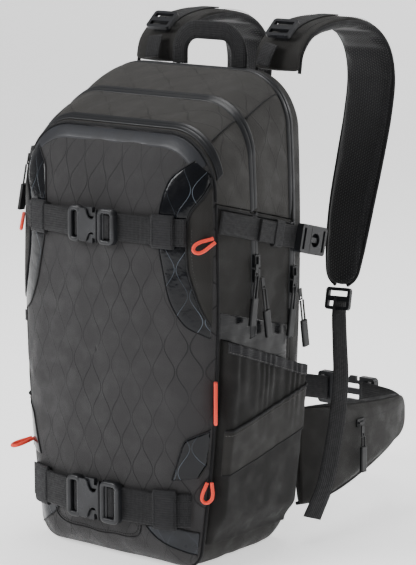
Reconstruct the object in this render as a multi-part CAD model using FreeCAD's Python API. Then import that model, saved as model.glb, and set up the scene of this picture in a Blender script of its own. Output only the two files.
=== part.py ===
import FreeCAD, Part
import math
import os

# Ski backpack, millimetres. +Z is up, the outer (front) face looks along -Y, the harness side along +Y.
# The origin is the middle of the flat base that the pack stands on.

# ---- driving dimensions -------------------------------------------------------------------------
WALL = 3.0                 # padded fabric wall
CLEAR = 0.3                # gap between neighbouring pieces
CORNER_Y = -64.0           # seam between front panel and side panels
SECOND_ZIP_Y = -7.0        # plane of the second (middle) zip
MAIN_ZIP_Y = 62.0          # plane of the main (rear) zip
BACK_Y = 93.0              # outer face of the back panel
FLAP_AXIS = (0.0, -98.0, 414.0)   # fold line of the opening flap, across the front
FLAP_SLOPE_DEG = 14.0      # the flap's lower edge falls towards the back
ZIP_WIDTH = 12.0
ZIP_END_Z = 242.0
TAPE_LOW, TAPE_HIGH = CLEAR, 2.0            # layer of the zip tapes above the fabric
WEB_LOW, WEB_HIGH = 3.0, 5.0                # layer of the webbing above the fabric
UPPER_STRAP_Z, UPPER_WEB = 376.0, 30.0      # height of the strap, width of its webbing
LOWER_STRAP_Z, LOWER_WEB = 70.0, 38.0
POCKET_BULGE = 16.0        # how far a side pocket stands out
BIG = 900.0                # larger than the pack, for cutting boxes

# Outlines of the bag from front to back:
# y, lowest z, highest z, half width, foot taper, top radius, foot radius, inset share in x and z, in y
# The three lowest ones dip below z = 0, where the base is cut flat.
OUTLINES = [
    (-100.0, 34.0, 398.0, 68.0, 6.0, 46.0, 26.0, 0.35, -1.0),
    (-94.0, 20.0, 425.0, 96.0, 10.0, 52.0, 28.0, 0.45, -0.85),
    (-85.0, 10.0, 447.0, 116.0, 14.0, 57.0, 28.0, 0.62, -0.75),
    (-75.0, 3.0, 464.0, 129.0, 18.0, 60.0, 26.0, 0.78, -0.6),
    (CORNER_Y, -1.0, 478.0, 135.0, 20.0, 62.0, 24.0, 0.93, -0.35),
    (SECOND_ZIP_Y, -1.0, 510.0, 139.0, 22.0, 62.0, 24.0, 1.0, 0.0),
    (MAIN_ZIP_Y, -1.0, 535.0, 138.0, 22.0, 62.0, 26.0, 1.0, 0.0),
    (80.0, 5.0, 534.0, 134.0, 19.0, 61.0, 30.0, 0.95, 0.25),
    (BACK_Y, 18.0, 528.0, 127.0, 14.0, 60.0, 34.0, 0.8, 1.0),
]

os.makedirs("parts", exist_ok=True)


# ---- helpers ------------------------------------------------------------------------------------
def vec(x, y, z):
    return FreeCAD.Vector(x, y, z)


def box(x0, x1, y0, y1, z0, z1):
    return Part.makeBox(x1 - x0, y1 - y0, z1 - z0, vec(x0, y0, z0))


def slab(y0, y1, z0=-BIG, z1=BIG):
    """Everything between two planes across the pack."""
    return box(-BIG, BIG, y0, y1, z0, z1)


def mirrored(shape):
    """The same piece on the other side of the pack."""
    return shape.mirror(vec(0, 0, 0), vec(1, 0, 0))


def group(shapes):
    return Part.makeCompound(shapes)


def save(name, shape):
    shape.exportStep("parts/" + name + ".step")


def clean(shape):
    """One solid, or a group of them, without empty shells."""
    solids = shape.Solids
    return solids[0] if len(solids) == 1 else Part.makeCompound(solids)


def outline(y, low, high, half, foot, r_top, r_foot):
    """Closed outline in the plane y: rounded top and foot corners, sides that swell between them."""
    foot_half = half - foot
    top_half = half - 2.0
    lean = math.sqrt(0.5)
    foot_x, foot_z = foot_half - r_foot, low + r_foot
    top_x, top_z = top_half - r_top, high - r_top
    foot_mid = (foot_x + r_foot * lean, foot_z - r_foot * lean)
    top_mid = (top_x + r_top * lean, top_z + r_top * lean)
    side_mid = (half, 0.5 * (foot_z + top_z))

    def at(x, z):
        return vec(x, y, z)

    edges = [
        Part.LineSegment(at(-foot_x, low), at(foot_x, low)),
        Part.Arc(at(foot_x, low), at(*foot_mid), at(foot_half, foot_z)),
        Part.Arc(at(foot_half, foot_z), at(*side_mid), at(top_half, top_z)),
        Part.Arc(at(top_half, top_z), at(*top_mid), at(top_x, high)),
        Part.LineSegment(at(top_x, high), at(-top_x, high)),
        Part.Arc(at(-top_x, high), at(-top_mid[0], top_mid[1]), at(-top_half, top_z)),
        Part.Arc(at(-top_half, top_z), at(-side_mid[0], side_mid[1]), at(-foot_half, foot_z)),
        Part.Arc(at(-foot_half, foot_z), at(-foot_mid[0], foot_mid[1]), at(-foot_x, low)),
    ]
    return Part.Wire([edge.toShape() for edge in edges])


def bag(inset):
    """The bag's outer form, shrunk by inset, or grown where inset is negative."""
    wires = []
    for y, low, high, half, foot, r_top, r_foot, share, share_y in OUTLINES:
        step = inset * share
        wires.append(outline(y - inset * share_y, low + step, high - step, half - step, foot,
                             r_top - step, r_foot - step))
    return Part.makeLoft(wires, True, True)


def side_x(outline_y, z):
    """Distance of the right side's fabric from the middle plane, at one of the listed outlines."""
    for y, low, high, half, foot, r_top, r_foot, share, share_y in OUTLINES:
        if y == outline_y:
            foot_z, top_z = low + r_foot, high - r_top
            swell = Part.Arc(vec(half - foot, 0, foot_z), vec(half, 0, 0.5 * (foot_z + top_z)),
                             vec(half - 2.0, 0, top_z)).toShape().Curve
            return swell.Center.x + math.sqrt(swell.Radius ** 2 - (z - swell.Center.z) ** 2)


def skin(low, high, region):
    """A layer that lies between two heights above the fabric, inside a region."""
    return clean(region.common(bag(-high)).cut(bag(-low)))


def tilted(shape, pivot, degrees):
    """Turned about the X direction at a pivot; a positive angle lowers the back."""
    turned = shape.copy()
    turned.rotate(vec(*pivot), vec(1, 0, 0), -degrees)
    return turned


def above_flap_edge(gap):
    """Half space above the flap's lower edge."""
    space = slab(FLAP_AXIS[1] - BIG, FLAP_AXIS[1] + BIG, FLAP_AXIS[2] + gap, FLAP_AXIS[2] + BIG)
    return tilted(space, FLAP_AXIS, FLAP_SLOPE_DEG)


def ribbon(points, across, widths, thickness):
    """A flat band through points; across is the direction of its width."""
    across = vec(*across).normalize()
    stations = [vec(*point) for point in points]
    wires = []
    for index, centre in enumerate(stations):
        before = stations[max(index - 1, 0)]
        after = stations[min(index + 1, len(stations) - 1)]
        side = (after - before).cross(across).normalize() * (0.5 * thickness)
        reach = across * (0.5 * widths[index])
        corners = [centre - reach - side, centre + reach - side, centre + reach + side, centre - reach + side]
        wires.append(Part.makePolygon(corners + corners[:1]))
    return Part.makeLoft(wires, True, True)


def placed(shape, origin, along, across):
    """Moves a piece from its own frame (length X, width Y, outward Z) to its place on the pack."""
    along = vec(*along).normalize()
    across = vec(*across).normalize()
    outward = along.cross(across)
    piece = shape.copy()
    piece.Placement = FreeCAD.Placement(FreeCAD.Matrix(
        along.x, across.x, outward.x, origin[0],
        along.y, across.y, outward.y, origin[1],
        along.z, across.z, outward.z, origin[2], 0, 0, 0, 1))
    return piece


# ---- bag panels ---------------------------------------------------------------------------------
outer = bag(0.0)
shell = outer.cut(bag(WALL)).common(slab(-BIG, BIG, 0.0, BIG))
# The flap turns forward about its fold line. Below that line's height its rear corner would first
# swing back, so there it keeps inside the circle that just touches the rear gusset.
flap_rear = MAIN_ZIP_Y - CLEAR
flap_circle = Part.makeCylinder(flap_rear - FLAP_AXIS[1], 2 * BIG, vec(-BIG, FLAP_AXIS[1], FLAP_AXIS[2]),
                                vec(1, 0, 0))
flap_room = slab(-BIG, flap_rear, FLAP_AXIS[2], BIG).fuse(flap_circle)
upper_space = above_flap_edge(CLEAR)
lower_shell = shell.cut(above_flap_edge(0.0))
BASE_TOP = 24.0

save("front_panel_lower", clean(lower_shell.common(slab(-BIG, CORNER_Y))))
middle_lower = lower_shell.common(slab(CORNER_Y, MAIN_ZIP_Y))
save("base_panel", clean(middle_lower.common(slab(-BIG, BIG, -BIG, BASE_TOP))))
save("side_panels", clean(middle_lower.common(slab(-BIG, BIG, BASE_TOP, BIG))))
save("rear_gusset", clean(shell.common(slab(MAIN_ZIP_Y, BACK_Y - WALL))))
save("back_panel", clean(shell.common(slab(BACK_Y - WALL, BIG))))
save("upper_front_panel", clean(shell.common(upper_space).common(slab(-BIG, CORNER_Y))))
save("flap_gusset", clean(shell.common(upper_space).common(slab(CORNER_Y, flap_rear)).common(flap_room)))
DIVIDER = 1.5
divider_space = slab(SECOND_ZIP_Y - DIVIDER, SECOND_ZIP_Y)
save("compartment_divider", clean(bag(WALL + CLEAR).common(divider_space).cut(above_flap_edge(-2.0))))

# ---- inner frame and back padding ---------------------------------------------------------------
SHEET_HALF, SHEET_LOW, SHEET_HIGH = 104.0, 45.0, 495.0
SHEET_BACK = BACK_Y - WALL - 0.5
SHEET_FRONT = SHEET_BACK - 1.5
STAY_X, STAY_WIDTH, STAY_DEPTH = 55.0, 12.0, 3.0
save("frame_sheet", box(-SHEET_HALF, SHEET_HALF, SHEET_FRONT, SHEET_BACK, SHEET_LOW, SHEET_HIGH))
stay = box(STAY_X - STAY_WIDTH / 2, STAY_X + STAY_WIDTH / 2, SHEET_FRONT - CLEAR - STAY_DEPTH,
           SHEET_FRONT - CLEAR, SHEET_LOW + 15, SHEET_HIGH - 15)
save("frame_stays", group([stay, mirrored(stay)]))


def pad(x0, x1, z0, z1, depth, radius):
    """Foam pad on the back panel with rounded corners and a rounded face."""
    block = box(x0, x1, BACK_Y + CLEAR, BACK_Y + depth, z0, z1)
    corners = [edge for edge in block.Edges if abs(edge.Vertexes[0].Y - edge.Vertexes[1].Y) > 1.0]
    block = block.makeFillet(radius, corners)
    rim = [edge for edge in block.Edges if edge.BoundBox.YMin > BACK_Y + depth - 0.01]
    return block.makeFillet(0.5 * depth, rim)


pads = []
for low, high in ((384.0, 466.0), (284.0, 366.0)):
    side_pad = pad(16.0, 122.0, low, high, 13.0, 20.0)
    pads += [side_pad, mirrored(side_pad)]
save("back_pads", group(pads))
save("lumbar_pad", pad(-92.0, 92.0, 70.0, 190.0, 15.0, 30.0))
YOKE_HALF_WIDTH = 102.0
YOKE_LOW, YOKE_HIGH = 476.0, 512.0
save("harness_yoke", box(-YOKE_HALF_WIDTH, YOKE_HALF_WIDTH, BACK_Y + CLEAR, BACK_Y + 4.0,
                         YOKE_LOW, YOKE_HIGH))

# ---- zip tapes ----------------------------------------------------------------------------------
main_band = slab(MAIN_ZIP_Y - ZIP_WIDTH / 2, MAIN_ZIP_Y + ZIP_WIDTH / 2, ZIP_END_Z, BIG)
main_tape = skin(TAPE_LOW, TAPE_HIGH, main_band)
flap_half = above_flap_edge(CLEAR).common(flap_room)
body_half = above_flap_edge(0.0).common(slab(-BIG, MAIN_ZIP_Y))
save("main_zip_flap_tape", clean(main_tape.common(flap_half)))
save("main_zip_body_tape", clean(main_tape.cut(body_half)))
second_band = slab(SECOND_ZIP_Y - ZIP_WIDTH / 2, SECOND_ZIP_Y + ZIP_WIDTH / 2, ZIP_END_Z + 12, BIG)
second_tape = skin(TAPE_LOW, TAPE_HIGH, second_band)
save("second_zip_flap_tape", clean(second_tape.common(upper_space)))
save("second_zip_body_tape", clean(second_tape.cut(above_flap_edge(0.0))))
POCKET_ZIP_Y, POCKET_ZIP_WIDTH, POCKET_ZIP_END_Z = -56.0, 9.0, 434.0
pocket_band = slab(POCKET_ZIP_Y - POCKET_ZIP_WIDTH / 2, POCKET_ZIP_Y + POCKET_ZIP_WIDTH / 2,
                   POCKET_ZIP_END_Z, BIG)
save("pocket_zip_tape", skin(TAPE_LOW, TAPE_HIGH, pocket_band))


# ---- zip sliders with their pullers -------------------------------------------------------------
GRIP_LENGTH = 30.0
LINK_EYE_X = -13.6


def slider_body():
    """Die-cast slider, 14 long, with the bridge that holds the puller."""
    body = box(-7, 7, -4.5, 4.5, 0, 3.0).common(Part.makeCylinder(8.3, 3.0))
    return body.fuse(box(-5, 5, -1.2, 1.2, 3.0, 5.0))


def puller(length):
    """Link, doubled cord and moulded grip, hanging along -X."""
    link = box(-16, -3, -2.6, 2.6, 5.2, 6.4).cut(Part.makeCylinder(1.5, 3, vec(LINK_EYE_X, 0, 4.5)))
    grip = box(-length, GRIP_LENGTH - length, -5, 5, 4.6, 9.0)
    long_edges = [edge for edge in grip.Edges if abs(edge.Vertexes[0].X - edge.Vertexes[1].X) > 1.0]
    grip = grip.makeFillet(1.6, long_edges)
    cord_run = length - GRIP_LENGTH + LINK_EYE_X - 3.0
    cords = [Part.makeCylinder(1.1, cord_run, vec(GRIP_LENGTH - length, y, 6.8), vec(1, 0, 0))
             for y in (-2.4, 2.4)]
    return [link, grip] + cords


def slider_with_puller(length, shift, fan):
    """The puller hangs beside the slider's middle line and leans away from it by the fan angle."""
    hanging = group(puller(length))
    hanging.translate(vec(0, shift, 0))
    hanging.rotate(vec(0, 0, 0), vec(0, 0, 1), fan)
    return group([slider_body()] + hanging.Solids)


SLIDER_LIFT = TAPE_HIGH + CLEAR
PULLER, PULLER_SHIFT, PULLER_FAN = 70.0, 4.2, 9.0
SIDE_SLIDERS = {"main": (MAIN_ZIP_Y, (316.0, 300.0)), "second": (SECOND_ZIP_Y, (338.0, 322.0))}
for name, (y, heights) in SIDE_SLIDERS.items():
    track_x = max(side_x(y, z) for z in heights) + SLIDER_LIFT
    for place, z, turn in (("upper", heights[0], 1), ("lower", heights[1], -1)):
        piece = slider_with_puller(PULLER, PULLER_SHIFT * turn, -PULLER_FAN * turn)
        save(name + "_zip_" + place + "_slider",
             placed(piece, (track_x, y, z), (0, 0, 1), (0, -1, 0)))
# the pocket zip ends on the rounded left shoulder: its slider follows the tape, its puller hangs outwards
POCKET_SLIDER = (-132.2 - SLIDER_LIFT, POCKET_ZIP_Y, 438.6)
TAPE_LEAN, PULLER_LEAN = math.radians(15.4), math.radians(12.0)
PULLER_STEP = 0.8          # the leaning puller sits this much further out
along_tape = (math.sin(TAPE_LEAN), 0, math.cos(TAPE_LEAN))
along_puller = (math.sin(PULLER_LEAN), 0, math.cos(PULLER_LEAN))
pocket_body = placed(slider_body(), POCKET_SLIDER, along_tape, (0, 1, 0))
puller_origin = (POCKET_SLIDER[0] - PULLER_STEP, POCKET_ZIP_Y, POCKET_SLIDER[2])
pocket_puller = placed(group(puller(PULLER)), puller_origin, along_puller, (0, 1, 0))
save("pocket_zip_slider", group(pocket_body.Solids + pocket_puller.Solids))

# ---- side-release buckle, in its own frame: strap along X, width Y, outward Z ---------------------
def side_release_buckle(length, width, thick):
    """Female and male halves and the two prongs, the halves closed on each other."""
    half, side = 0.5 * length, 0.5 * width
    mouth = 0.12 * length
    back = -0.24 * length
    plate = 0.24 * thick
    bar = 0.075 * length
    slot_half = side - 4.0

    def bars(x0, x1, direction):
        """Frame end with two webbing slots between three cross bars."""
        frame = box(min(x0, x1), max(x0, x1), -side, side, 0, thick)
        corners = [edge for edge in frame.Edges
                   if abs(edge.Vertexes[0].Z - edge.Vertexes[1].Z) > 1.0
                   and abs(edge.Vertexes[0].X - x1) < 0.01]
        frame = frame.makeFillet(0.12 * width, corners)
        slot = 0.085 * length
        inner = x1 - direction * (bar + slot)
        return frame.cut(box(min(inner, inner + direction * slot), max(inner, inner + direction * slot),
                             -slot_half, slot_half, -1, thick + 1))

    female = bars(mouth, -half, -1)
    female = female.cut(box(back, mouth + 1, -side - 1, side + 1, plate, thick - plate))
    window = Part.makeCylinder(0.24 * width, thick, vec(0.5 * (back + mouth), 0, thick - plate - 1))
    female = female.cut(window)
    gap = 0.6
    male = bars(mouth + gap, half, 1)
    inside_low, inside_high = plate + CLEAR, thick - plate - CLEAR
    tongue = box(back + 2.0, mouth + gap + 0.5, -0.09 * width, 0.09 * width, inside_low, inside_high)
    male = male.fuse(tongue)
    prong_root = mouth - 0.2
    arm_y = 0.30 * width
    shoulder, tip, outer_edge = 0.02 * length, back + 3.0, side - 0.6
    corners = [(tip, arm_y - 2.0), (prong_root, arm_y - 2.0), (prong_root, arm_y + 2.0),
               (shoulder, arm_y + 2.0), (shoulder, outer_edge), (tip + 4.0, outer_edge),
               (tip, arm_y + 1.0), (tip, arm_y - 2.0)]
    head = Part.makePolygon([vec(x, y, inside_low) for x, y in corners])
    prong = Part.Face(head).extrude(vec(0, 0, inside_high - inside_low))
    other = prong.mirror(vec(0, 0, 0), vec(0, 1, 0))
    return female, male, prong, other


FRONT_WEB_OUT = 100.0 + WEB_HIGH + 0.5
FRONT_BUCKLES = (("upper", UPPER_STRAP_Z, 66.0, 40.0, 10.0), ("lower", LOWER_STRAP_Z, 76.0, 48.0, 11.0))
for name, z, length, width, thick in FRONT_BUCKLES:
    halves = side_release_buckle(length, width, thick)
    for piece, shape in zip(("female", "male", "prong_a", "prong_b"), halves):
        save(name + "_buckle_" + piece, placed(shape, (0, -FRONT_WEB_OUT, z), (1, 0, 0), (0, 0, 1)))

# ---- front straps -------------------------------------------------------------------------------
FRONT_WEB_END = 112.0
KEEPER_IN, KEEPER_OUT = 76.0, 100.0
webbings, keepers = [], []
for z, web, buckle_length in ((UPPER_STRAP_Z, UPPER_WEB, 66.0), (LOWER_STRAP_Z, LOWER_WEB, 76.0)):
    low, high = z - 0.5 * web, z + 0.5 * web
    inner_end = 0.5 * buckle_length - 12.0
    right = skin(WEB_LOW, WEB_HIGH, box(inner_end, FRONT_WEB_END, -BIG, CORNER_Y - 8, low, high))
    webbings += [right, mirrored(right)]
    sleeve = skin(CLEAR, WEB_HIGH + 2.5, box(KEEPER_IN, KEEPER_OUT, -BIG, CORNER_Y - 8, low - 3, high + 3))
    tunnel = skin(WEB_LOW - CLEAR, WEB_HIGH + CLEAR,
                  box(KEEPER_IN - 1, KEEPER_OUT + 1, -BIG, CORNER_Y - 8, low - CLEAR, high + CLEAR))
    keeper = clean(sleeve.cut(tunnel))
    keepers += [keeper, mirrored(keeper)]
save("front_webbings", group(webbings))
save("strap_keepers", group(keepers))

# ---- side straps --------------------------------------------------------------------------------
SIDE_STRAP_PIVOT = (0.0, CORNER_Y, 387.0)
SIDE_WEB = 25.0
SIDE_WEB_FRONT, SIDE_WEB_REAR = CORNER_Y + 2.0, 74.0


def side_band(y0, y1, width):
    """Sloping region along the right side strap."""
    z = SIDE_STRAP_PIVOT[2]
    return tilted(box(100, BIG, y0, y1, z - 0.5 * width, z + 0.5 * width), SIDE_STRAP_PIVOT, FLAP_SLOPE_DEG)


side_webbing = skin(WEB_LOW, WEB_HIGH, side_band(SIDE_WEB_FRONT, SIDE_WEB_REAR, SIDE_WEB))
save("side_webbings", group([side_webbing, mirrored(side_webbing)]))
ELASTIC_Y0, ELASTIC_Y1 = 22.0, 36.0
elastic = skin(2.2, WEB_HIGH + 2.6, side_band(ELASTIC_Y0, ELASTIC_Y1, SIDE_WEB + 5))
elastic_tunnel = skin(2.0, WEB_HIGH + CLEAR, side_band(ELASTIC_Y0 - 1, ELASTIC_Y1 + 1, SIDE_WEB + 1))
elastic = clean(elastic.cut(elastic_tunnel))
save("side_strap_elastics", group([elastic, mirrored(elastic)]))
SIDE_BUCKLE_LENGTH, SIDE_BUCKLE_WIDTH, SIDE_BUCKLE_THICK = 46.0, 32.0, 8.0
slope = math.radians(FLAP_SLOPE_DEG)
SIDE_BUCKLE_Y = 84.0
side_buckle_z = SIDE_STRAP_PIVOT[2] - (SIDE_BUCKLE_Y - CORNER_Y) * math.tan(slope)
side_buckle = side_release_buckle(SIDE_BUCKLE_LENGTH, SIDE_BUCKLE_WIDTH, SIDE_BUCKLE_THICK)
forward = (0, -math.cos(slope), math.sin(slope))
side_origin = (side_x(MAIN_ZIP_Y, side_buckle_z) + WEB_HIGH + 0.8, SIDE_BUCKLE_Y, side_buckle_z)
downward = (0, -math.sin(slope), -math.cos(slope))
side_female = placed(side_buckle[0], side_origin, forward, downward)
side_male = placed(group(side_buckle[1:]), side_origin, forward, downward)
save("side_buckle_females", group([side_female, mirrored(side_female)]))
save("right_side_buckle_male", side_male)
save("left_side_buckle_male", mirrored(side_male))

# ---- side pockets -------------------------------------------------------------------------------
POCKET_TOP = (0.0, SECOND_ZIP_Y, 240.0)
POCKET_SLOPE_DEG = 19.5
POCKET_Y0, POCKET_Y1, POCKET_Z0 = -60.0, 84.0, 26.0
POCKET_WALL = 2.0
SIDE_REGION_X = 90.0       # pieces of the right side lie beyond this


def pocket_block(y0, y1, z0, lift):
    """Region of the right side pocket under its sloping top edge."""
    under = box(SIDE_REGION_X, BIG, -BIG, BIG, -BIG, POCKET_TOP[2] + lift)
    under = tilted(under, POCKET_TOP, POCKET_SLOPE_DEG)
    return under.common(box(SIDE_REGION_X, BIG, y0, y1, z0, BIG))


inner_y0, inner_y1 = POCKET_Y0 + POCKET_WALL, POCKET_Y1 - POCKET_WALL
inner_z0 = POCKET_Z0 + POCKET_WALL
# the outer wall is sewn from flat-lying bands, between these depths and heights
WALL_DEPTHS = (inner_y0, SECOND_ZIP_Y, MAIN_ZIP_Y, inner_y1)
WALL_HEIGHTS = (inner_z0, 75.0, 130.0, 185.0, BIG)
pocket_region = pocket_block(POCKET_Y0, POCKET_Y1, POCKET_Z0, 0.0)
filled = skin(CLEAR, POCKET_BULGE, pocket_region)
outer_wall = skin(POCKET_BULGE - POCKET_WALL, POCKET_BULGE, pocket_region)
pocket_pieces = [filled.common(slab(POCKET_Y0, inner_y0)),
                 filled.common(slab(inner_y1, POCKET_Y1)),
                 filled.common(slab(inner_y0, inner_y1, POCKET_Z0, inner_z0))]
for y0, y1 in zip(WALL_DEPTHS, WALL_DEPTHS[1:]):
    for z0, z1 in zip(WALL_HEIGHTS, WALL_HEIGHTS[1:]):
        pocket_pieces.append(outer_wall.common(slab(y0, y1, z0, z1)))
side_pocket = group([solid for piece in pocket_pieces for solid in piece.Solids])
save("right_side_pocket", side_pocket)
save("left_side_pocket", mirrored(side_pocket))
HEM_HEIGHT, TRIM_HIGH = 12.0, POCKET_BULGE + 2.0
hem_region = pocket_block(POCKET_Y0 + 1, POCKET_Y1 - 1, POCKET_Z0, -0.5)
hem_region = hem_region.cut(pocket_block(POCKET_Y0, POCKET_Y1, -BIG, -HEM_HEIGHT))
hem = skin(POCKET_BULGE + CLEAR, TRIM_HIGH, hem_region)
save("pocket_elastics", group([hem, mirrored(hem)]))
WING_PIVOT, WING_RISE_DEG, WING_HEIGHT = (0.0, CORNER_Y, 132.0), 13.0, 51.0
wing_region = tilted(box(SIDE_REGION_X, BIG, POCKET_Y0 + 1, POCKET_Y1 - 1, WING_PIVOT[2] - WING_HEIGHT / 2,
                         WING_PIVOT[2] + WING_HEIGHT / 2), WING_PIVOT, -WING_RISE_DEG)
wing = skin(POCKET_BULGE + CLEAR, TRIM_HIGH, wing_region)
save("pocket_wings", group([wing, mirrored(wing)]))

# ---- cord loops on the seams --------------------------------------------------------------------
CORD_RADIUS = 2.0


def cord_loop(origin, along, across, length, width):
    """A U of cord that stands out of a seam: two legs and a half circle, in its own plane."""
    half = 0.5 * width
    legs = [Part.LineSegment(vec(0, -half, 0), vec(length - half, -half, 0)),
            Part.Arc(vec(length - half, -half, 0), vec(length, 0, 0), vec(length - half, half, 0)),
            Part.LineSegment(vec(length - half, half, 0), vec(0, half, 0))]
    path = Part.Wire([leg.toShape() for leg in legs])
    section = Part.Wire([Part.Circle(vec(0, -half, 0), vec(1, 0, 0), CORD_RADIUS).toShape()])
    return placed(path.makePipeShell([section], True, False), origin, along, across)


# where each loop leaves its seam, the way it points, the way it is wide, its length and width
UPPER_LOOP = ((138.2, -71.8, 368.5), (-0.55, -0.73, -0.42), (-0.42, -0.19, 0.88), 25.0, 10.0)
# the right seam has a long tab on edge; of the lower pair the right one hangs and the left one stands out
SINGLE_LOOPS = [((139.0, -70.5, 214.0), (0.0, 0.0, -1.0), (0.63, -0.777, 0.0), 46.0, 7.0),
                ((129.0, -68.6, 101.0), (-0.12, -0.1, -0.99), (0.777, 0.629, 0.0), 23.0, 11.0),
                ((-130.2, -69.4, 111.0), (-0.42, -0.85, -0.25), (0.9, -0.44, 0.0), 26.0, 11.0)]
upper = cord_loop(*UPPER_LOOP)
save("gear_loops", group([upper, mirrored(upper)] + [cord_loop(*row) for row in SINGLE_LOOPS]))

# ---- haul loop ----------------------------------------------------------------------------------
HAUL_HALF, HAUL_WEB, HAUL_LOW, HAUL_HIGH, HAUL_THICK = 54.0, 22.0, 533.5, 584.0, 4.0
HAUL_Y = 89.0


def arch(half, high, radius):
    """Inverted U in the plane of the back panel."""
    x, z = half - radius, high - radius
    corner_x, corner_z = x + radius * math.sqrt(0.5), z + radius * math.sqrt(0.5)
    edges = [Part.LineSegment(vec(-half, HAUL_Y, HAUL_LOW), vec(-half, HAUL_Y, z)),
             Part.Arc(vec(-half, HAUL_Y, z), vec(-corner_x, HAUL_Y, corner_z), vec(-x, HAUL_Y, high)),
             Part.LineSegment(vec(-x, HAUL_Y, high), vec(x, HAUL_Y, high)),
             Part.Arc(vec(x, HAUL_Y, high), vec(corner_x, HAUL_Y, corner_z), vec(half, HAUL_Y, z)),
             Part.LineSegment(vec(half, HAUL_Y, z), vec(half, HAUL_Y, HAUL_LOW)),
             Part.LineSegment(vec(half, HAUL_Y, HAUL_LOW), vec(-half, HAUL_Y, HAUL_LOW))]
    return Part.Face(Part.Wire([edge.toShape() for edge in edges])).extrude(vec(0, HAUL_THICK, 0))


HAUL_OUT_RADIUS, HAUL_IN_RADIUS = 30.0, 14.0
haul_outside = arch(HAUL_HALF, HAUL_HIGH, HAUL_OUT_RADIUS)
save("haul_loop", haul_outside.cut(arch(HAUL_HALF - HAUL_WEB, HAUL_HIGH - HAUL_WEB, HAUL_IN_RADIUS)))

# ---- shoulder straps ----------------------------------------------------------------------------
STRAP_THICK = 12.0
# centre line of the right pad from the harness yoke over the crest and down: x, y, z, width
PAD_LINE = [(87.0, 104.5, 530.0, 62.0), (87.0, 110.0, 553.0, 62.0), (87.0, 131.0, 572.0, 62.0),
            (87.0, 165.0, 580.0, 62.0), (87.0, 205.0, 581.0, 63.0), (88.0, 243.0, 572.0, 64.0),
            (89.0, 270.0, 548.0, 65.0), (90.0, 279.0, 512.0, 66.0), (92.0, 270.0, 468.0, 66.0),
            (95.0, 252.0, 420.0, 65.0), (98.0, 232.0, 368.0, 62.0), (101.0, 216.0, 318.0, 54.0),
            (103.0, 206.0, 276.0, 40.0)]
pad_strap = ribbon([row[:3] for row in PAD_LINE], (1, 0, 0), [row[3] for row in PAD_LINE], STRAP_THICK)
save("right_shoulder_pad", pad_strap)
save("left_shoulder_pad", mirrored(pad_strap))


LOCK_LENGTH, LOCK_WIDTH, LOCK_THICK, LOCK_CORNER, LOCK_BAR, LOCK_SLOT = 26.0, 34.0, 4.5, 4.0, 4.0, 6.0


def ladder_lock(origin, along, across):
    """Three-bar webbing adjuster with two slots."""
    half_x, half_y = 0.5 * LOCK_LENGTH, 0.5 * LOCK_WIDTH
    frame = box(-half_x, half_x, -half_y, half_y, 0, LOCK_THICK)
    corners = [edge for edge in frame.Edges if abs(edge.Vertexes[0].Z - edge.Vertexes[1].Z) > 1.0]
    frame = frame.makeFillet(LOCK_CORNER, corners)
    for x in (LOCK_BAR - half_x, half_x - LOCK_BAR - LOCK_SLOT):
        frame = frame.cut(box(x, x + LOCK_SLOT, LOCK_BAR - half_y, half_y - LOCK_BAR, -1, LOCK_THICK + 1))
    return placed(frame, origin, along, across)


# each lock lies on the face of its pad: one over the crest, one at the lower end
LOW_LOCK, LOW_LOCK_ALONG = (103.6, 202.0, 260.5), (0.05, -0.23, -0.97)
CREST_LOCK, CREST_LOCK_ALONG = (87.0, 113.6, 576.6), (0, 0.76, 0.65)
low_lock = ladder_lock(LOW_LOCK, LOW_LOCK_ALONG, (1, 0, 0))
crest_lock = ladder_lock(CREST_LOCK, CREST_LOCK_ALONG, (-1, 0, 0))
locks = group([low_lock, crest_lock])
save("right_ladder_locks", locks)
save("left_ladder_locks", mirrored(locks))
LIFTER_WEB, LIFTER_THICK, WEB_THICK = 20.0, 1.8, 2.0
LIFTER_LINE = [(80.0, 84.0, 538.5), (82.0, 90.0, 552.0), (84.0, 96.0, 562.0)]
lifter = ribbon(LIFTER_LINE, (1, 0, 0), [LIFTER_WEB] * len(LIFTER_LINE), LIFTER_THICK)
save("load_lifters", group([lifter, mirrored(lifter)]))
# the webbing below each pad, outside the hip wing and down to the corner: x, y, z, width
LOWER_WEB_LINE = [(106.0, 198.0, 243.0, 20.0), (122.0, 178.0, 214.0, 20.0), (142.0, 153.0, 180.0, 20.0),
                  (152.0, 134.0, 142.0, 22.0), (155.0, 120.0, 104.0, 23.0), (153.0, 110.0, 66.0, 24.0),
                  (142.0, 100.0, 27.0, 26.0)]
tail = ribbon([row[:3] for row in LOWER_WEB_LINE], (0.35, 0.94, 0), [row[3] for row in LOWER_WEB_LINE],
              WEB_THICK)
save("right_lower_webbing", tail)
save("left_lower_webbing", mirrored(tail))

# ---- hip belt -----------------------------------------------------------------------------------
WING_THICK = 14.0
HIP_LINE = [(119.0, 98.0, 95.0, 112.0), (128.0, 122.0, 96.0, 112.0), (133.0, 155.0, 98.0, 104.0),
            (134.0, 195.0, 101.0, 90.0), (131.0, 238.0, 104.0, 74.0), (124.0, 280.0, 107.0, 58.0),
            (113.0, 312.0, 109.0, 42.0)]
hip_wing = ribbon([row[:3] for row in HIP_LINE], (0, 0, 1), [row[3] for row in HIP_LINE], WING_THICK)
save("right_hip_wing", hip_wing)
save("left_hip_wing", mirrored(hip_wing))
HIP_WEB = 30.0
HIP_WEB_LINE = [(111.5, 315.5, 109.0), (98.0, 332.0, 109.0), (76.0, 346.0, 109.0), (48.0, 354.0, 109.0),
                (26.0, 357.0, 109.0)]
hip_web = ribbon(HIP_WEB_LINE, (0, 0, 1), [HIP_WEB] * len(HIP_WEB_LINE), WEB_THICK)
save("right_hip_webbing", hip_web)
save("left_hip_webbing", mirrored(hip_web))
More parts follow.
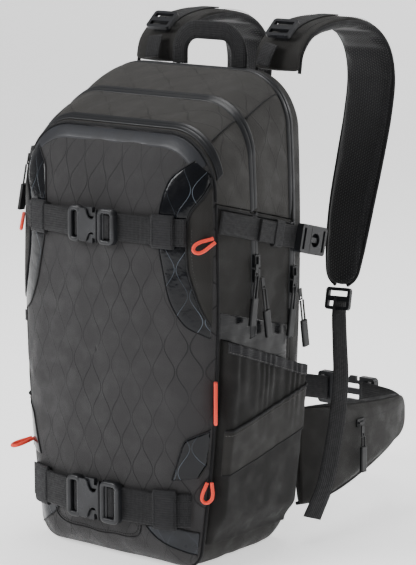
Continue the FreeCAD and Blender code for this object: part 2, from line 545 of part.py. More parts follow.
HIP_BUCKLE_LENGTH, HIP_BUCKLE_WIDTH, HIP_BUCKLE_THICK, HIP_BUCKLE_OPEN = 62.0, 40.0, 9.0, 24.0
HIP_BUCKLE_Y, HIP_BUCKLE_Z = 359.0, 109.0
hip_buckle = side_release_buckle(HIP_BUCKLE_LENGTH, HIP_BUCKLE_WIDTH, HIP_BUCKLE_THICK)
for name, shape, x in (("female", hip_buckle[0], -0.5 * HIP_BUCKLE_OPEN),
                       ("male", group(hip_buckle[1:]), 0.5 * HIP_BUCKLE_OPEN)):
    save("hip_buckle_" + name, placed(shape, (x, HIP_BUCKLE_Y, HIP_BUCKLE_Z), (1, 0, 0), (0, 0, -1)))
HIP_SLIDER = (141.6, 190.0, 122.0)
HIP_PULLER = 58.0
hip_body = placed(slider_body(), HIP_SLIDER, (0, 1, 0), (0, 0, 1))
hip_puller = placed(group(puller(HIP_PULLER)), HIP_SLIDER, (0, 0, 1), (0, -1, 0))
hip_slider = group(hip_body.Solids + hip_puller.Solids)
save("right_hip_slider", hip_slider)
save("left_hip_slider", mirrored(hip_slider))
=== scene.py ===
import bpy
import math
import numpy as np
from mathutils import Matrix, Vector, noise


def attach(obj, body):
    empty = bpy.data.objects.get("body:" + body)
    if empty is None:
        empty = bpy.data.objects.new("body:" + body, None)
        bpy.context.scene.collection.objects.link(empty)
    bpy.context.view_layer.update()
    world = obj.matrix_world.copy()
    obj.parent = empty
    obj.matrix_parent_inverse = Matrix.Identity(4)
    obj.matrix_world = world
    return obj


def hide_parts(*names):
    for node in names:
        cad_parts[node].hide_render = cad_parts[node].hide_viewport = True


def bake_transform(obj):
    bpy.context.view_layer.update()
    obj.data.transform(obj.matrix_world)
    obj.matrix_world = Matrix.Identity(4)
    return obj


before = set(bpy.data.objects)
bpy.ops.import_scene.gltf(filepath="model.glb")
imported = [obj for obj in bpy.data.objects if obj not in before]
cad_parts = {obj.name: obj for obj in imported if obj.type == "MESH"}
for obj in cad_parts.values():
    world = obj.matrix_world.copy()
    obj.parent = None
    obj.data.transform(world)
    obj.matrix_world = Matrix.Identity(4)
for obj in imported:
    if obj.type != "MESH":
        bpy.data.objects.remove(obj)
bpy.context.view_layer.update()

# Ski backpack. Lengths below are in millimetres in the row frame and become metres in make_mesh.
MM = 0.001
CORNER_Y, SECOND_ZIP_Y, MAIN_ZIP_Y, BACK_Y = -64.0, -7.0, 62.0, 93.0
FLAP_AXIS_Y, FLAP_AXIS_Z = -98.0, 414.0
FLAP_SLOPE = math.tan(math.radians(14.0))

# ---- the bag's form: outlines across the bag, from front to back --------------------------------
# y, lowest z, highest z, half width, foot taper, top radius, foot radius
OUTLINES = np.array([
    (-100.0, 34.0, 398.0, 68.0, 6.0, 46.0, 26.0),
    (-94.0, 20.0, 425.0, 96.0, 10.0, 52.0, 28.0),
    (-85.0, 10.0, 447.0, 116.0, 14.0, 57.0, 28.0),
    (-75.0, 3.0, 464.0, 129.0, 18.0, 60.0, 26.0),
    (-64.0, 0.0, 478.0, 135.0, 20.0, 62.0, 24.0),
    (-7.0, 0.0, 510.0, 139.0, 22.0, 62.0, 24.0),
    (62.0, 0.0, 535.0, 138.0, 22.0, 62.0, 26.0),
    (80.0, 5.0, 534.0, 134.0, 19.0, 61.0, 30.0),
    (93.0, 18.0, 528.0, 127.0, 14.0, 60.0, 34.0),
])
CAP_Y = OUTLINES[0, 0]
CAP_BULGE = 5.0
# share of the half outline, from the middle of the foot to the middle of the top, where each stretch ends
FOOT_END, FOOT_TURN, SIDE_END, TOP_TURN, TOP_END = 0.07, 0.13, 0.36, 0.44, 0.5


def monotone_slopes(xs, ys):
    """Slopes of a smooth curve through a table that never overshoots it."""
    step = np.diff(xs)
    rise = np.diff(ys) / step
    slopes = np.zeros_like(ys)
    for i in range(1, len(xs) - 1):
        if rise[i - 1] * rise[i] > 0:
            a, b = 2 * step[i] + step[i - 1], step[i] + 2 * step[i - 1]
            slopes[i] = (a + b) / (a / rise[i - 1] + b / rise[i])
    slopes[0], slopes[-1] = rise[0], rise[-1]
    return slopes


SLOPES = np.stack([monotone_slopes(OUTLINES[:, 0], OUTLINES[:, k]) for k in range(1, 7)], 1)


def outline_numbers(y):
    """Low, high, half, foot, top radius and foot radius at y, smooth between the table's rows."""
    y = np.clip(np.asarray(y, float), OUTLINES[0, 0], OUTLINES[-1, 0])
    i = np.clip(np.searchsorted(OUTLINES[:, 0], y) - 1, 0, len(OUTLINES) - 2)
    step = OUTLINES[i + 1, 0] - OUTLINES[i, 0]
    t = (y - OUTLINES[i, 0]) / step
    result = []
    for k in range(1, 7):
        a, b = OUTLINES[i, k], OUTLINES[i + 1, k]
        sa, sb = SLOPES[i, k - 1] * step, SLOPES[i + 1, k - 1] * step
        result.append((2 * t**3 - 3 * t**2 + 1) * a + (t**3 - 2 * t**2 + t) * sa
                      + (3 * t**2 - 2 * t**3) * b + (t**3 - t**2) * sb)
    return result


def swell_x(half, foot, foot_z, top_z, z):
    """x of the side's long arc at height z."""
    x1, x2, x3 = half - foot, half, half - 2.0
    z1, z2, z3 = foot_z, 0.5 * (foot_z + top_z), top_z
    d = 2 * (x1 * (z2 - z3) + x2 * (z3 - z1) + x3 * (z1 - z2))
    q1, q2, q3 = x1**2 + z1**2, x2**2 + z2**2, x3**2 + z3**2
    cx = (q1 * (z2 - z3) + q2 * (z3 - z1) + q3 * (z1 - z2)) / d
    cz = (q1 * (x3 - x2) + q2 * (x1 - x3) + q3 * (x2 - x1)) / d
    radius = np.hypot(x2 - cx, z2 - cz)
    return cx + np.sqrt(np.maximum(radius**2 - (z - cz)**2, 0))


def outline_point(y, u):
    """x and z on the outline at y; u runs from 0 at the foot's middle up the right side and round to 1."""
    y, u = np.broadcast_arrays(np.asarray(y, float), np.asarray(u, float))
    low, high, half, foot, r_top, r_foot = outline_numbers(y)
    w = np.where(u > 0.5, 1 - u, u)
    side = np.where(u > 0.5, -1.0, 1.0)
    foot_x, foot_z = half - foot - r_foot, low + r_foot
    top_x, top_z = half - 2 - r_top, high - r_top
    a = np.clip((w - FOOT_END) / (FOOT_TURN - FOOT_END), 0, 1) * math.pi / 2
    b = np.clip((w - SIDE_END) / (TOP_TURN - SIDE_END), 0, 1) * math.pi / 2
    s = np.clip((w - FOOT_TURN) / (SIDE_END - FOOT_TURN), 0, 1)
    side_z = foot_z + s * (top_z - foot_z)
    x = np.select([w <= FOOT_END, w <= FOOT_TURN, w <= SIDE_END, w <= TOP_TURN],
                  [foot_x * w / FOOT_END, foot_x + r_foot * np.sin(a),
                   swell_x(half, foot, foot_z, top_z, side_z), top_x + r_top * np.cos(b)],
                  top_x * (TOP_END - w) / (TOP_END - TOP_TURN))
    z = np.select([w <= FOOT_END, w <= FOOT_TURN, w <= SIDE_END, w <= TOP_TURN],
                  [low, foot_z - r_foot * np.cos(a), side_z, top_z + r_top * np.sin(b)], high)
    return side * x, z


def outside(y, x, z):
    """Signed distance of (x, z) from the outline at y, positive outside."""
    low, high, half, foot, r_top, r_foot = outline_numbers(y)
    x = np.abs(x)
    foot_x, foot_z = half - foot - r_foot, low + r_foot
    top_x, top_z = half - 2 - r_top, high - r_top
    over = np.where(x <= top_x, z - high, np.hypot(x - top_x, z - top_z) - r_top)
    under = np.where(x <= foot_x, low - z, np.hypot(x - foot_x, foot_z - z) - r_foot)
    return np.where(z >= top_z, over, np.where(z <= foot_z, under,
                                               x - swell_x(half, foot, foot_z, top_z, z)))


def front_y(x, z):
    """y of the bag's front surface at (x, z)."""
    x, z = np.broadcast_arrays(np.asarray(x, float), np.asarray(z, float))
    ahead, behind = np.full(x.shape, CAP_Y), np.full(x.shape, MAIN_ZIP_Y)
    for _ in range(26):
        middle = 0.5 * (ahead + behind)
        is_out = outside(middle, x, z) > 0
        ahead, behind = np.where(is_out, middle, ahead), np.where(is_out, behind, middle)
    depth = np.clip(-outside(CAP_Y, x, z) / 55.0, 0, 1)
    return 0.5 * (ahead + behind) - CAP_BULGE * depth * (2 - depth)


def front_points(x, z):
    """Points and outward normals of the front surface."""
    e = 1.5
    y = front_y(x, z)
    gx = (front_y(x + e, z) - front_y(x - e, z)) / (2 * e)
    gz = (front_y(x, z + e) - front_y(x, z - e)) / (2 * e)
    normal = np.stack([gx, -np.ones_like(gx), gz], -1)
    return np.stack([x, y, z], -1), normal / np.linalg.norm(normal, axis=-1, keepdims=True)


def skin_points(y, u):
    """Points and outward normals of the bag between front and back, at depth y and outline place u."""
    y, u = np.broadcast_arrays(np.asarray(y, float), np.asarray(u, float))
    ey, eu = 0.6, 0.0008

    def at(y, u):
        x, z = outline_point(y, u % 1.0)
        return np.stack([x, y, z], -1)

    along_y = at(np.minimum(y + ey, BACK_Y), u) - at(np.maximum(y - ey, CAP_Y), u)
    along_u = at(y, u + eu) - at(y, u - eu)
    normal = np.cross(along_y, along_u)
    return at(y, u), normal / np.linalg.norm(normal, axis=-1, keepdims=True)


def side_points(y, z, side=1.0):
    """Points and outward normals of one side of the bag, at depth y and height z."""
    y, z = np.broadcast_arrays(np.asarray(y, float), np.asarray(z, float))

    def at(y, z):
        low, high, half, foot, r_top, r_foot = outline_numbers(y)
        foot_z, top_z = low + r_foot, high - r_top
        x = swell_x(half, foot, foot_z, top_z, np.clip(z, foot_z, top_z))
        over = np.clip(z - top_z, 0, r_top * 0.98)
        under = np.clip(foot_z - z, 0, r_foot * 0.98)
        x = x - r_top + np.sqrt(r_top**2 - over**2)
        x = x - r_foot + np.sqrt(r_foot**2 - under**2)
        return np.stack([x, y, z], -1)

    along_y = at(np.minimum(y + 0.6, BACK_Y), z) - at(np.maximum(y - 0.6, CAP_Y), z)
    normal = np.cross(along_y, at(y, z + 0.6) - at(y, z - 0.6))
    points = at(y, z)
    normal = normal / np.linalg.norm(normal, axis=-1, keepdims=True)
    turn = np.array([side, 1.0, 1.0])
    return points * turn, normal * turn


def flap_edge_z(y):
    """Height of the opening flap's lower edge at depth y."""
    return FLAP_AXIS_Z - FLAP_SLOPE * (y - FLAP_AXIS_Y)


def edge_place(y):
    """Outline place u of the flap's lower edge on the right side, for each y."""
    y = np.asarray(y, float)
    low, high = np.full(y.shape, FOOT_TURN), np.full(y.shape, TOP_TURN)
    for _ in range(24):
        middle = 0.5 * (low + high)
        above = outline_point(y, middle)[1] > flap_edge_z(y)
        low, high = np.where(above, low, middle), np.where(above, middle, high)
    return 0.5 * (low + high)


# ---- small helpers ------------------------------------------------------------------------------
def fbm(points, scale, seed=0.0, octaves=3):
    """Smooth noise from about -1 to 1 at points in millimetres; scale is the feature size."""
    flat = np.asarray(points, float).reshape(-1, 3) / scale
    values = [noise.fractal(Vector((p[0] + seed, p[1] - seed, p[2] + 2 * seed)), 0.8, 2.1, octaves)
              for p in flat]
    return np.array(values).reshape(np.asarray(points).shape[:-1])


def bump(value, centre, width):
    """A smooth hill of height 1."""
    return np.exp(-((value - centre) / width)**2)


def ease(value, start, end):
    t = np.clip((value - start) / (end - start), 0, 1)
    return t * t * (3 - 2 * t)


def make_mesh(name, verts, faces, uvs=None, materials=(), face_materials=None):
    """A smooth-shaded mesh object from points in millimetres; uvs are per vertex, in metres."""
    mesh = bpy.data.meshes.new(name)
    mesh.from_pydata([tuple(v) for v in np.asarray(verts, float) * MM], [], faces)
    mesh.validate()
    if uvs is not None:
        layer = mesh.uv_layers.new(name="UVMap")
        index = np.zeros(len(mesh.loops), int)
        mesh.loops.foreach_get("vertex_index", index)
        layer.data.foreach_set("uv", np.asarray(uvs, float)[index].ravel())
    for material in materials:
        mesh.materials.append(material)
    if face_materials is not None:
        mesh.polygons.foreach_set("material_index", face_materials)
    mesh.polygons.foreach_set("use_smooth", [True] * len(mesh.polygons))
    mesh.update()
    obj = bpy.data.objects.new(name, mesh)
    bpy.context.scene.collection.objects.link(obj)
    return obj


def grid_faces(rows, columns, wrap, start=0, flip=False):
    faces = []
    for i in range(rows - 1):
        for j in range(columns if wrap else columns - 1):
            k = (j + 1) % columns
            quad = (start + i * columns + j, start + i * columns + k,
                    start + (i + 1) * columns + k, start + (i + 1) * columns + j)
            faces.append(quad[::-1] if flip else quad)
    return faces


def sheet_mesh(name, points, normals, thickness, uvs, material, lining=None, wrap=False, crown=0.0):
    """A closed sheet: a grid of points, its inner face lower by thickness, and its rim."""
    rows, columns = points.shape[:2]
    if crown:
        i = np.linspace(-1, 1, rows)[:, None, None] if rows > 2 else 0
        points = points + normals * crown * (1 - np.abs(i)**3)
    inner = points - normals * thickness
    verts = np.concatenate([points.reshape(-1, 3), inner.reshape(-1, 3)])
    count = rows * columns
    outer_faces = grid_faces(rows, columns, wrap)
    inner_faces = grid_faces(rows, columns, wrap, count, True)
    rim = []
    for j in range(columns if wrap else columns - 1):
        k = (j + 1) % columns
        last = (rows - 1) * columns
        rim.append((j, j + count, k + count, k))
        rim.append((last + j, last + k, last + k + count, last + j + count))
    if not wrap:
        for i in range(rows - 1):
            a, b = i * columns, (i + 1) * columns
            rim.append((a, b, b + count, a + count))
            rim.append((a + columns - 1, a + columns - 1 + count, b + columns - 1 + count, b + columns - 1))
    faces = outer_faces + inner_faces + rim
    a, b = np.asarray(faces[len(outer_faces) // 2][:2]), faces[len(outer_faces) // 2][2]
    face_normal = np.cross(verts[a[1]] - verts[a[0]], verts[b] - verts[a[1]])
    if np.dot(face_normal, normals.reshape(-1, 3)[a[0]]) < 0:
        faces = [face[::-1] for face in faces]
    flat_uv = np.asarray(uvs, float).reshape(-1, 2) * MM
    materials = [material] + ([lining] if lining else [])
    kinds = [0] * len(outer_faces) + [1 if lining else 0] * len(inner_faces) + [0] * len(rim)
    return make_mesh(name, verts, faces, np.concatenate([flat_uv, flat_uv]), materials, kinds)


def smooth_path(points, count):
    """Points evenly spaced along a smooth curve through the given ones; extra columns follow along."""
    p = np.asarray(points, float)
    ends = np.vstack([2 * p[0] - p[1], p, 2 * p[-1] - p[-2]])
    dense = []
    for i in range(1, len(ends) - 2):
        a, b, c, d = ends[i - 1:i + 3]
        for t in np.linspace(0, 1, 24, endpoint=False):
            dense.append(0.5 * (2 * b + (c - a) * t + (2 * a - 5 * b + 4 * c - d) * t**2
                                + (3 * b - a - 3 * c + d) * t**3))
    dense.append(p[-1])
    dense = np.array(dense)
    length = np.concatenate([[0], np.cumsum(np.linalg.norm(np.diff(dense[:, :3], axis=0), axis=1))])
    places = np.linspace(0, length[-1], count)
    return np.stack([np.interp(places, length, dense[:, k]) for k in range(p.shape[1])], 1)


def frames_along(path, across):
    """Unit tangents, width directions and face normals along a band."""
    tangent = np.gradient(path, axis=0)
    tangent /= np.linalg.norm(tangent, axis=1, keepdims=True)
    across = np.broadcast_to(np.asarray(across, float), path.shape)
    across = across - tangent * np.sum(across * tangent, axis=1, keepdims=True)
    across = across / np.linalg.norm(across, axis=1, keepdims=True)
    return tangent, across, np.cross(tangent, across)


def sweep(name, path, across, widths, section, material, caps=True):
    """A closed band: section is a ring of (share of half width, height) pairs."""
    _, across, normal = frames_along(path, across)
    section = np.asarray(section, float)
    widths = np.broadcast_to(np.asarray(widths, float), (len(path),))
    rings = (path[:, None] + across[:, None] * (section[None, :, :1] * 0.5 * widths[:, None, None])
             + normal[:, None] * section[None, :, 1:])
    rows, columns = rings.shape[:2]
    faces = grid_faces(rows, columns, True)
    verts = rings.reshape(-1, 3)
    length = np.concatenate([[0], np.cumsum(np.linalg.norm(np.diff(path, axis=0), axis=1))])
    uvs = np.stack([np.broadcast_to(section[None, :, 0] * 0.5 * widths[:, None], (rows, columns)),
                    np.broadcast_to(length[:, None], (rows, columns))], -1).reshape(-1, 2) * MM
    if caps:
        faces.append(tuple(range(columns))[::-1])
        faces.append(tuple(range((rows - 1) * columns, rows * columns)))
    first = verts[list(faces[0])]
    face_normal = np.cross(first[1] - first[0], first[2] - first[1])
    if np.dot(face_normal, first.mean(0) - path[0]) < 0:
        faces = [face[::-1] for face in faces]
    return make_mesh(name, verts, faces, uvs, [material])


def round_section(radius, count=12):
    turn = np.linspace(0, 2 * math.pi, count, endpoint=False)
    return np.stack([np.cos(turn), radius * np.sin(turn)], 1)


def flat_section(thickness, edge=0.06, count=5):
    """Webbing section: flat faces with rounded selvedges."""
    across = np.linspace(-1 + edge, 1 - edge, count)
    half = 0.5 * thickness
    top = [(x, half) for x in across[::-1]]
    bottom = [(x, -half) for x in across]
    return np.array([(1.0, 0.0)] + top + [(-1.0, 0.0)] + bottom)


def tube(name, points, radius, material, count=None, section=12):
    path = smooth_path(points, count or 8 * len(points))
    tangent = np.gradient(path, axis=0)
    mean = np.abs(tangent).mean(0)
    across = np.eye(3)[int(np.argmin(mean))]
    return sweep(name, path, across, 2 * radius, round_section(radius, section), material)


def joined(name, objects):
    """Several meshes as one piece."""
    bpy.ops.object.select_all(action="DESELECT")
    for obj in objects:
        obj.select_set(True)
    bpy.context.view_layer.objects.active = objects[0]
    bpy.ops.object.join()
    objects[0].name = name
    return objects[0]


def finish_piece(obj, body, replaces=()):
    if body:
        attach(obj, body)
    if replaces:
        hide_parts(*replaces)
    return obj


# ---- materials ----------------------------------------------------------------------------------
class Graph:
    """One procedural material: short calls for its nodes, constants set on the shader itself."""

    def __init__(self, name, **constants):
        self.material = bpy.data.materials.new(name)
        self.material.use_nodes = True
        self.tree = self.material.node_tree
        self.shader = self.tree.nodes["Principled BSDF"]
        for socket, value in constants.items():
            self.shader.inputs[socket.replace("_", " ")].default_value = value

    def put(self, value, socket):
        if isinstance(value, bpy.types.NodeSocket):
            self.tree.links.new(value, socket)
        elif value is not None:
            socket.default_value = value

    def math(self, operation, a, b=None, c=None):
        node = self.tree.nodes.new("ShaderNodeMath")
        node.operation = operation
        for index, value in enumerate((a, b, c)):
            self.put(value, node.inputs[index])
        return node.outputs[0]

    def coordinates(self, kind):
        """u, v and the whole vector, in metres: along the cloth (UV) or in the row frame (Object)."""
        vector = self.tree.nodes.new("ShaderNodeTexCoord").outputs[kind]
        split = self.tree.nodes.new("ShaderNodeSeparateXYZ")
        self.put(vector, split.inputs[0])
        if kind == "UV":
            return split.outputs[0], split.outputs[1], vector
        return self.math("MULTIPLY_ADD", split.outputs[1], 0.7, split.outputs[0]), split.outputs[2], vector

    def noise(self, vector, scale, detail=2.0):
        node = self.tree.nodes.new("ShaderNodeTexNoise")
        self.put(vector, node.inputs["Vector"])
        node.inputs["Scale"].default_value = scale
        node.inputs["Detail"].default_value = detail
        return node.outputs["Fac"]

    def sine(self, value, pitch_mm):
        return self.math("SINE", self.math("MULTIPLY", value, 2 * math.pi / (pitch_mm * MM)))

    def ramp(self, value, low, high, to_low=0.0, to_high=1.0):
        node = self.tree.nodes.new("ShaderNodeMapRange")
        node.interpolation_type = "SMOOTHSTEP"
        for socket, number in zip(node.inputs[:5], (value, low, high, to_low, to_high)):
            self.put(number, socket)
        return node.outputs[0]

    def mix(self, share, a, b):
        node = self.tree.nodes.new("ShaderNodeMix")
        node.data_type = "RGBA"
        self.put(share, node.inputs[0])
        self.put(a, node.inputs[6])
        self.put(b, node.inputs[7])
        return node.outputs[2]

    def shade(self, colour, factor):
        """A colour times a grey factor."""
        node = self.tree.nodes.new("ShaderNodeVectorMath")
        node.operation = "SCALE"
        self.put(colour[:3] if isinstance(colour, tuple) else colour, node.inputs[0])
        self.put(factor, node.inputs["Scale"])
        return node.outputs[0]

    def bump(self, height, depth_mm, strength=1.0):
        node = self.tree.nodes.new("ShaderNodeBump")
        node.inputs["Strength"].default_value = strength
        node.inputs["Distance"].default_value = depth_mm * MM
        self.put(height, node.inputs["Height"])
        self.put(node.outputs[0], self.shader.inputs["Normal"])

    def diamond_lines(self, u, v, line_mm):
        """Lines of a grid of tall diamonds: mirrored zigzags that nearly touch at their nodes."""
        across = self.math("DIVIDE", u, DIAMOND_WIDTH / 2 * MM)
        cell = self.math("ROUND", across)
        local = self.math("SUBTRACT", across, cell)
        parity = self.math("ABSOLUTE", self.math("MODULO", cell, 2.0))
        sign = self.math("MULTIPLY_ADD", parity, -2.0, 1.0)
        wave = self.math("PINGPONG", self.math("DIVIDE", v, DIAMOND_HEIGHT / 2 * MM), 1.0)
        wave = self.ramp(wave, 0.0, 1.0, -0.43, 0.43)
        away = self.math("ABSOLUTE", self.math("SUBTRACT", local, self.math("MULTIPLY", wave, sign)))
        reach = line_mm / (DIAMOND_WIDTH / 2)
        return self.ramp(away, 0.35 * reach, reach, 1.0, 0.0)


DIAMOND_WIDTH, DIAMOND_HEIGHT = 27.0, 56.0


def rgba(red, green, blue):
    return (red, green, blue, 1.0)


def cloth_material(name, colour, roughness, weave=1.5, kind="UV", variation=0.05, relief=0.25, sheen=0.04,
                   lines=None, gloss_spread=0.1):
    """Woven cloth: weave relief, soft colour variation, paler rubbed spots, and a line grid if asked."""
    graph = Graph(name, Sheen_Weight=sheen, Sheen_Roughness=0.5, Specular_IOR_Level=0.22)
    u, v, place = graph.coordinates(kind)
    weave_height = graph.math("MULTIPLY", graph.sine(u, weave), graph.sine(v, weave))
    cloud = graph.noise(place, 14.0, 3.0)
    grain = graph.noise(place, 900.0, 1.0)
    factor = graph.ramp(cloud, 0.25, 0.75, 1.0 - variation, 1.0 + variation)
    factor = graph.math("MULTIPLY", factor, graph.ramp(grain, 0.2, 0.8, 0.9, 1.1))
    # painted shade: the colour is darker in the weave's dips, following the bump's height
    factor = graph.math("MULTIPLY", factor, graph.ramp(weave_height, -1.0, 1.0, 0.92, 1.08))
    base = graph.shade(colour, factor)
    height = graph.math("MULTIPLY_ADD", grain, 0.5, weave_height)
    if lines:
        line_colour, line_mm, amount = lines
        mask = graph.math("MULTIPLY", graph.diamond_lines(u, v, line_mm),
                          graph.ramp(graph.noise(place, 9.0), 0.35, 0.6, 0.35 * amount, amount))
        base = graph.mix(mask, base, line_colour)
        height = graph.math("MULTIPLY_ADD", mask, 2.0, height)
    graph.put(base, graph.shader.inputs["Base Color"])
    rubbed = graph.ramp(graph.noise(place, 40.0, 2.0), 0.4, 0.7, roughness + gloss_spread,
                        roughness - gloss_spread)
    graph.put(rubbed, graph.shader.inputs["Roughness"])
    graph.bump(height, relief)
    return graph.material


def webbing_material(name, colour, roughness, rib_mm=1.7, kind="UV"):
    """Flat woven tape: ribs across, fine cords along."""
    graph = Graph(name, Sheen_Weight=0.04, Sheen_Roughness=0.5, Specular_IOR_Level=0.25)
    u, v, place = graph.coordinates(kind)
    ribs = graph.math("ABSOLUTE", graph.sine(v, 2 * rib_mm))
    cords = graph.math("ABSOLUTE", graph.sine(u, 2 * 2.6))
    height = graph.math("MULTIPLY_ADD", cords, 0.7, ribs)
    # painted shade: the tape is coloured darker between its ribs and cords, following the bump's height
    factor = graph.math("MULTIPLY", graph.ramp(height, 0.2, 1.7, 0.72, 1.2),
                        graph.ramp(graph.noise(place, 60.0, 3.0), 0.3, 0.7, 0.85, 1.15))
    graph.put(graph.shade(colour, factor), graph.shader.inputs["Base Color"])
    graph.put(graph.ramp(graph.noise(place, 200.0), 0.3, 0.7, roughness - 0.08, roughness + 0.08),
              graph.shader.inputs["Roughness"])
    graph.bump(height, 0.4)
    return graph.material


def moulded_material(name, colour, roughness, grain=700.0, relief=0.04, metallic=0.0, coat=0.0):
    """Moulded plastic, rubber or lacquered metal: fine grain and rubbed patches."""
    graph = Graph(name, Metallic=metallic, Coat_Weight=coat, Coat_Roughness=0.2, Specular_IOR_Level=0.32)
    place = graph.coordinates("Object")[2]
    rub = graph.noise(place, 55.0, 4.0)
    graph.put(graph.shade(colour, graph.ramp(rub, 0.35, 0.75, 0.85, 1.3)), graph.shader.inputs["Base Color"])
    graph.put(graph.ramp(rub, 0.3, 0.75, roughness + 0.07, roughness - 0.08),
              graph.shader.inputs["Roughness"])
    graph.bump(graph.noise(place, grain, 2.0), relief)
    return graph.material


def laminate_material(name, colour, line_colour, roughness, line_mm=0.9, amount=0.8):
    """Glossy film over cloth with a printed diamond grid and soft crinkles."""
    graph = Graph(name, Coat_Weight=0.1, Coat_Roughness=0.1, Specular_IOR_Level=0.2)
    u, v, place = graph.coordinates("UV")
    fade = graph.ramp(graph.noise(place, 16.0, 2.0), 0.38, 0.62, 0.12, 1.0)
    mask = graph.math("MULTIPLY", graph.math("MULTIPLY", graph.diamond_lines(u, v, line_mm), fade), amount)
    crinkle = graph.noise(place, 45.0, 3.0)
    # painted light and shade: the film is paler on its crinkles' crests and darker in their hollows
    base = graph.shade(colour, graph.ramp(crinkle, 0.3, 0.7, 0.8, 1.25))
    graph.put(graph.mix(mask, base, line_colour), graph.shader.inputs["Base Color"])
    graph.put(graph.ramp(graph.noise(place, 60.0), 0.3, 0.7, roughness - 0.05, roughness + 0.06),
              graph.shader.inputs["Roughness"])
    graph.bump(graph.math("MULTIPLY_ADD", mask, 0.25, crinkle), 1.4)
    return graph.material


def mesh_material(name, colour, pitch_mm=3.2):
    """Spacer mesh: staggered round holes."""
    graph = Graph(name, Sheen_Weight=0.2, Specular_IOR_Level=0.25, Roughness=0.85)
    u, v, place = graph.coordinates("UV")
    turned = [graph.math("MULTIPLY_ADD", v, slant, graph.math("MULTIPLY", u, part))
              for part, slant in ((1.0, 0.0), (0.5, 0.866), (-0.5, 0.866))]
    waves = [graph.math("COSINE", graph.math("MULTIPLY", value, 2 * math.pi / (pitch_mm * MM)))
             for value in turned]
    total = graph.math("ADD", graph.math("ADD", waves[0], waves[1]), waves[2])
    solid = graph.ramp(total, 0.6, 1.6, 1.0, 0.0)
    # painted shade: the holes are coloured down to a quarter, where the bump is low
    factor = graph.math("MULTIPLY", graph.ramp(solid, 0.0, 1.0, 0.25, 1.15),
                        graph.ramp(graph.noise(place, 30.0), 0.3, 0.7, 0.85, 1.15))
    graph.put(graph.shade(colour, factor), graph.shader.inputs["Base Color"])
    graph.bump(solid, 0.9)
    return graph.material


def cord_material(name, colour):
    """Braided cord: crossing helical strands."""
    graph = Graph(name, Sheen_Weight=0.2, Specular_IOR_Level=0.3, Roughness=0.55)
    u, v, _ = graph.coordinates("UV")
    one = graph.math("ABSOLUTE", graph.sine(graph.math("MULTIPLY_ADD", v, 1.0, u), 2.4))
    two = graph.math("ABSOLUTE", graph.sine(graph.math("MULTIPLY_ADD", v, -1.0, u), 2.4))
    braid = graph.math("MAXIMUM", one, two)
    # painted shade: the braid is coloured darker between its strands, following the bump's height
    graph.put(graph.shade(colour, graph.ramp(braid, 0.2, 1.0, 0.72, 1.1)), graph.shader.inputs["Base Color"])
    graph.bump(braid, 0.35)
    return graph.material


def floor_material():
    """Matt white paper, lit a little from behind so that it stays pale."""
    graph = Graph("studio_floor", Roughness=0.9, Specular_IOR_Level=0.1, Emission_Strength=0.9,
                  Emission_Color=rgba(1.0, 1.0, 1.0))
    graph.put(rgba(0.93, 0.93, 0.93), graph.shader.inputs["Base Color"])
    return graph.material


CHARCOAL, CHARCOAL_SIDE = rgba(0.027, 0.026, 0.027), rgba(0.0145, 0.0137, 0.0126)
front_cloth = cloth_material("front_cloth", CHARCOAL, 0.56, lines=(rgba(0.008, 0.008, 0.009), 1.0, 0.9))
upper_cloth = cloth_material("upper_cloth", rgba(0.029, 0.0275, 0.0255), 0.56,
                             lines=(rgba(0.010, 0.0095, 0.009), 0.9, 0.8))
side_cloth = cloth_material("side_cloth", CHARCOAL_SIDE, 0.6)
pocket_cloth = cloth_material("pocket_cloth", rgba(0.0070, 0.0067, 0.0063), 0.7)
dark_cloth = cloth_material("dark_cloth", rgba(0.006, 0.006, 0.007), 0.62)
back_cloth = cloth_material("back_cloth", rgba(0.011, 0.011, 0.012), 0.65)
lining_cloth = cloth_material("lining_cloth", rgba(0.10, 0.10, 0.11), 0.6, weave=1.2)
gloss_film = laminate_material("gloss_film", rgba(0.0018, 0.0022, 0.0035), rgba(0.14, 0.17, 0.21), 0.17,
                               0.45, 0.6)
plain_film = laminate_material("plain_film", rgba(0.004, 0.0042, 0.005), rgba(0.012, 0.012, 0.012), 0.26,
                               0.6, 0.1)
dull_film = laminate_material("dull_film", rgba(0.014, 0.0155, 0.019), rgba(0.05, 0.055, 0.065), 0.30,
                              0.8, 0.6)
tape_film = moulded_material("tape_film", rgba(0.0055, 0.006, 0.0075), 0.40, 500.0, 0.05)
# painted sheen: the real facing film under the pocket zip is coloured paler than the zip tape
painted_sheen_film = moulded_material("painted_sheen_film", rgba(0.017, 0.018, 0.0215), 0.42, 300.0, 0.12)
strap_weave = webbing_material("strap_weave", rgba(0.0058, 0.0058, 0.0068), 0.62)
elastic_weave = webbing_material("elastic_weave", rgba(0.009, 0.009, 0.0105), 0.66, 1.1)
acetal = moulded_material("acetal", rgba(0.014, 0.0145, 0.0165), 0.34)
slider_lacquer = moulded_material("slider_lacquer", rgba(0.005, 0.0053, 0.006), 0.42, 400.0, 0.05, 0.0, 0.1)
spacer_mesh = mesh_material("spacer_mesh", rgba(0.006, 0.006, 0.007))
red_braid = cord_material("red_braid", rgba(0.83, 0.045, 0.018))
thread = cloth_material("thread", rgba(0.09, 0.088, 0.086), 0.6, weave=0.8)
sheet_plastic = moulded_material("sheet_plastic", rgba(0.035, 0.036, 0.040), 0.5, 300.0, 0.1)
stay_alloy = moulded_material("stay_alloy", rgba(0.55, 0.55, 0.57), 0.35, 300.0, 0.05, 1.0)
studio_floor = floor_material()

NODE_LOOKS = [("buckle", acetal), ("ladder_locks", acetal), ("slider", slider_lacquer),
              ("frame_sheet", sheet_plastic), ("frame_stays", stay_alloy), ("divider", lining_cloth)]


def dress_nodes():
    """Materials of the model's own nodes that stay visible."""
    for name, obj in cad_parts.items():
        for word, material in NODE_LOOKS:
            if word in name:
                obj.data.materials.clear()
                obj.data.materials.append(material)


dress_nodes()

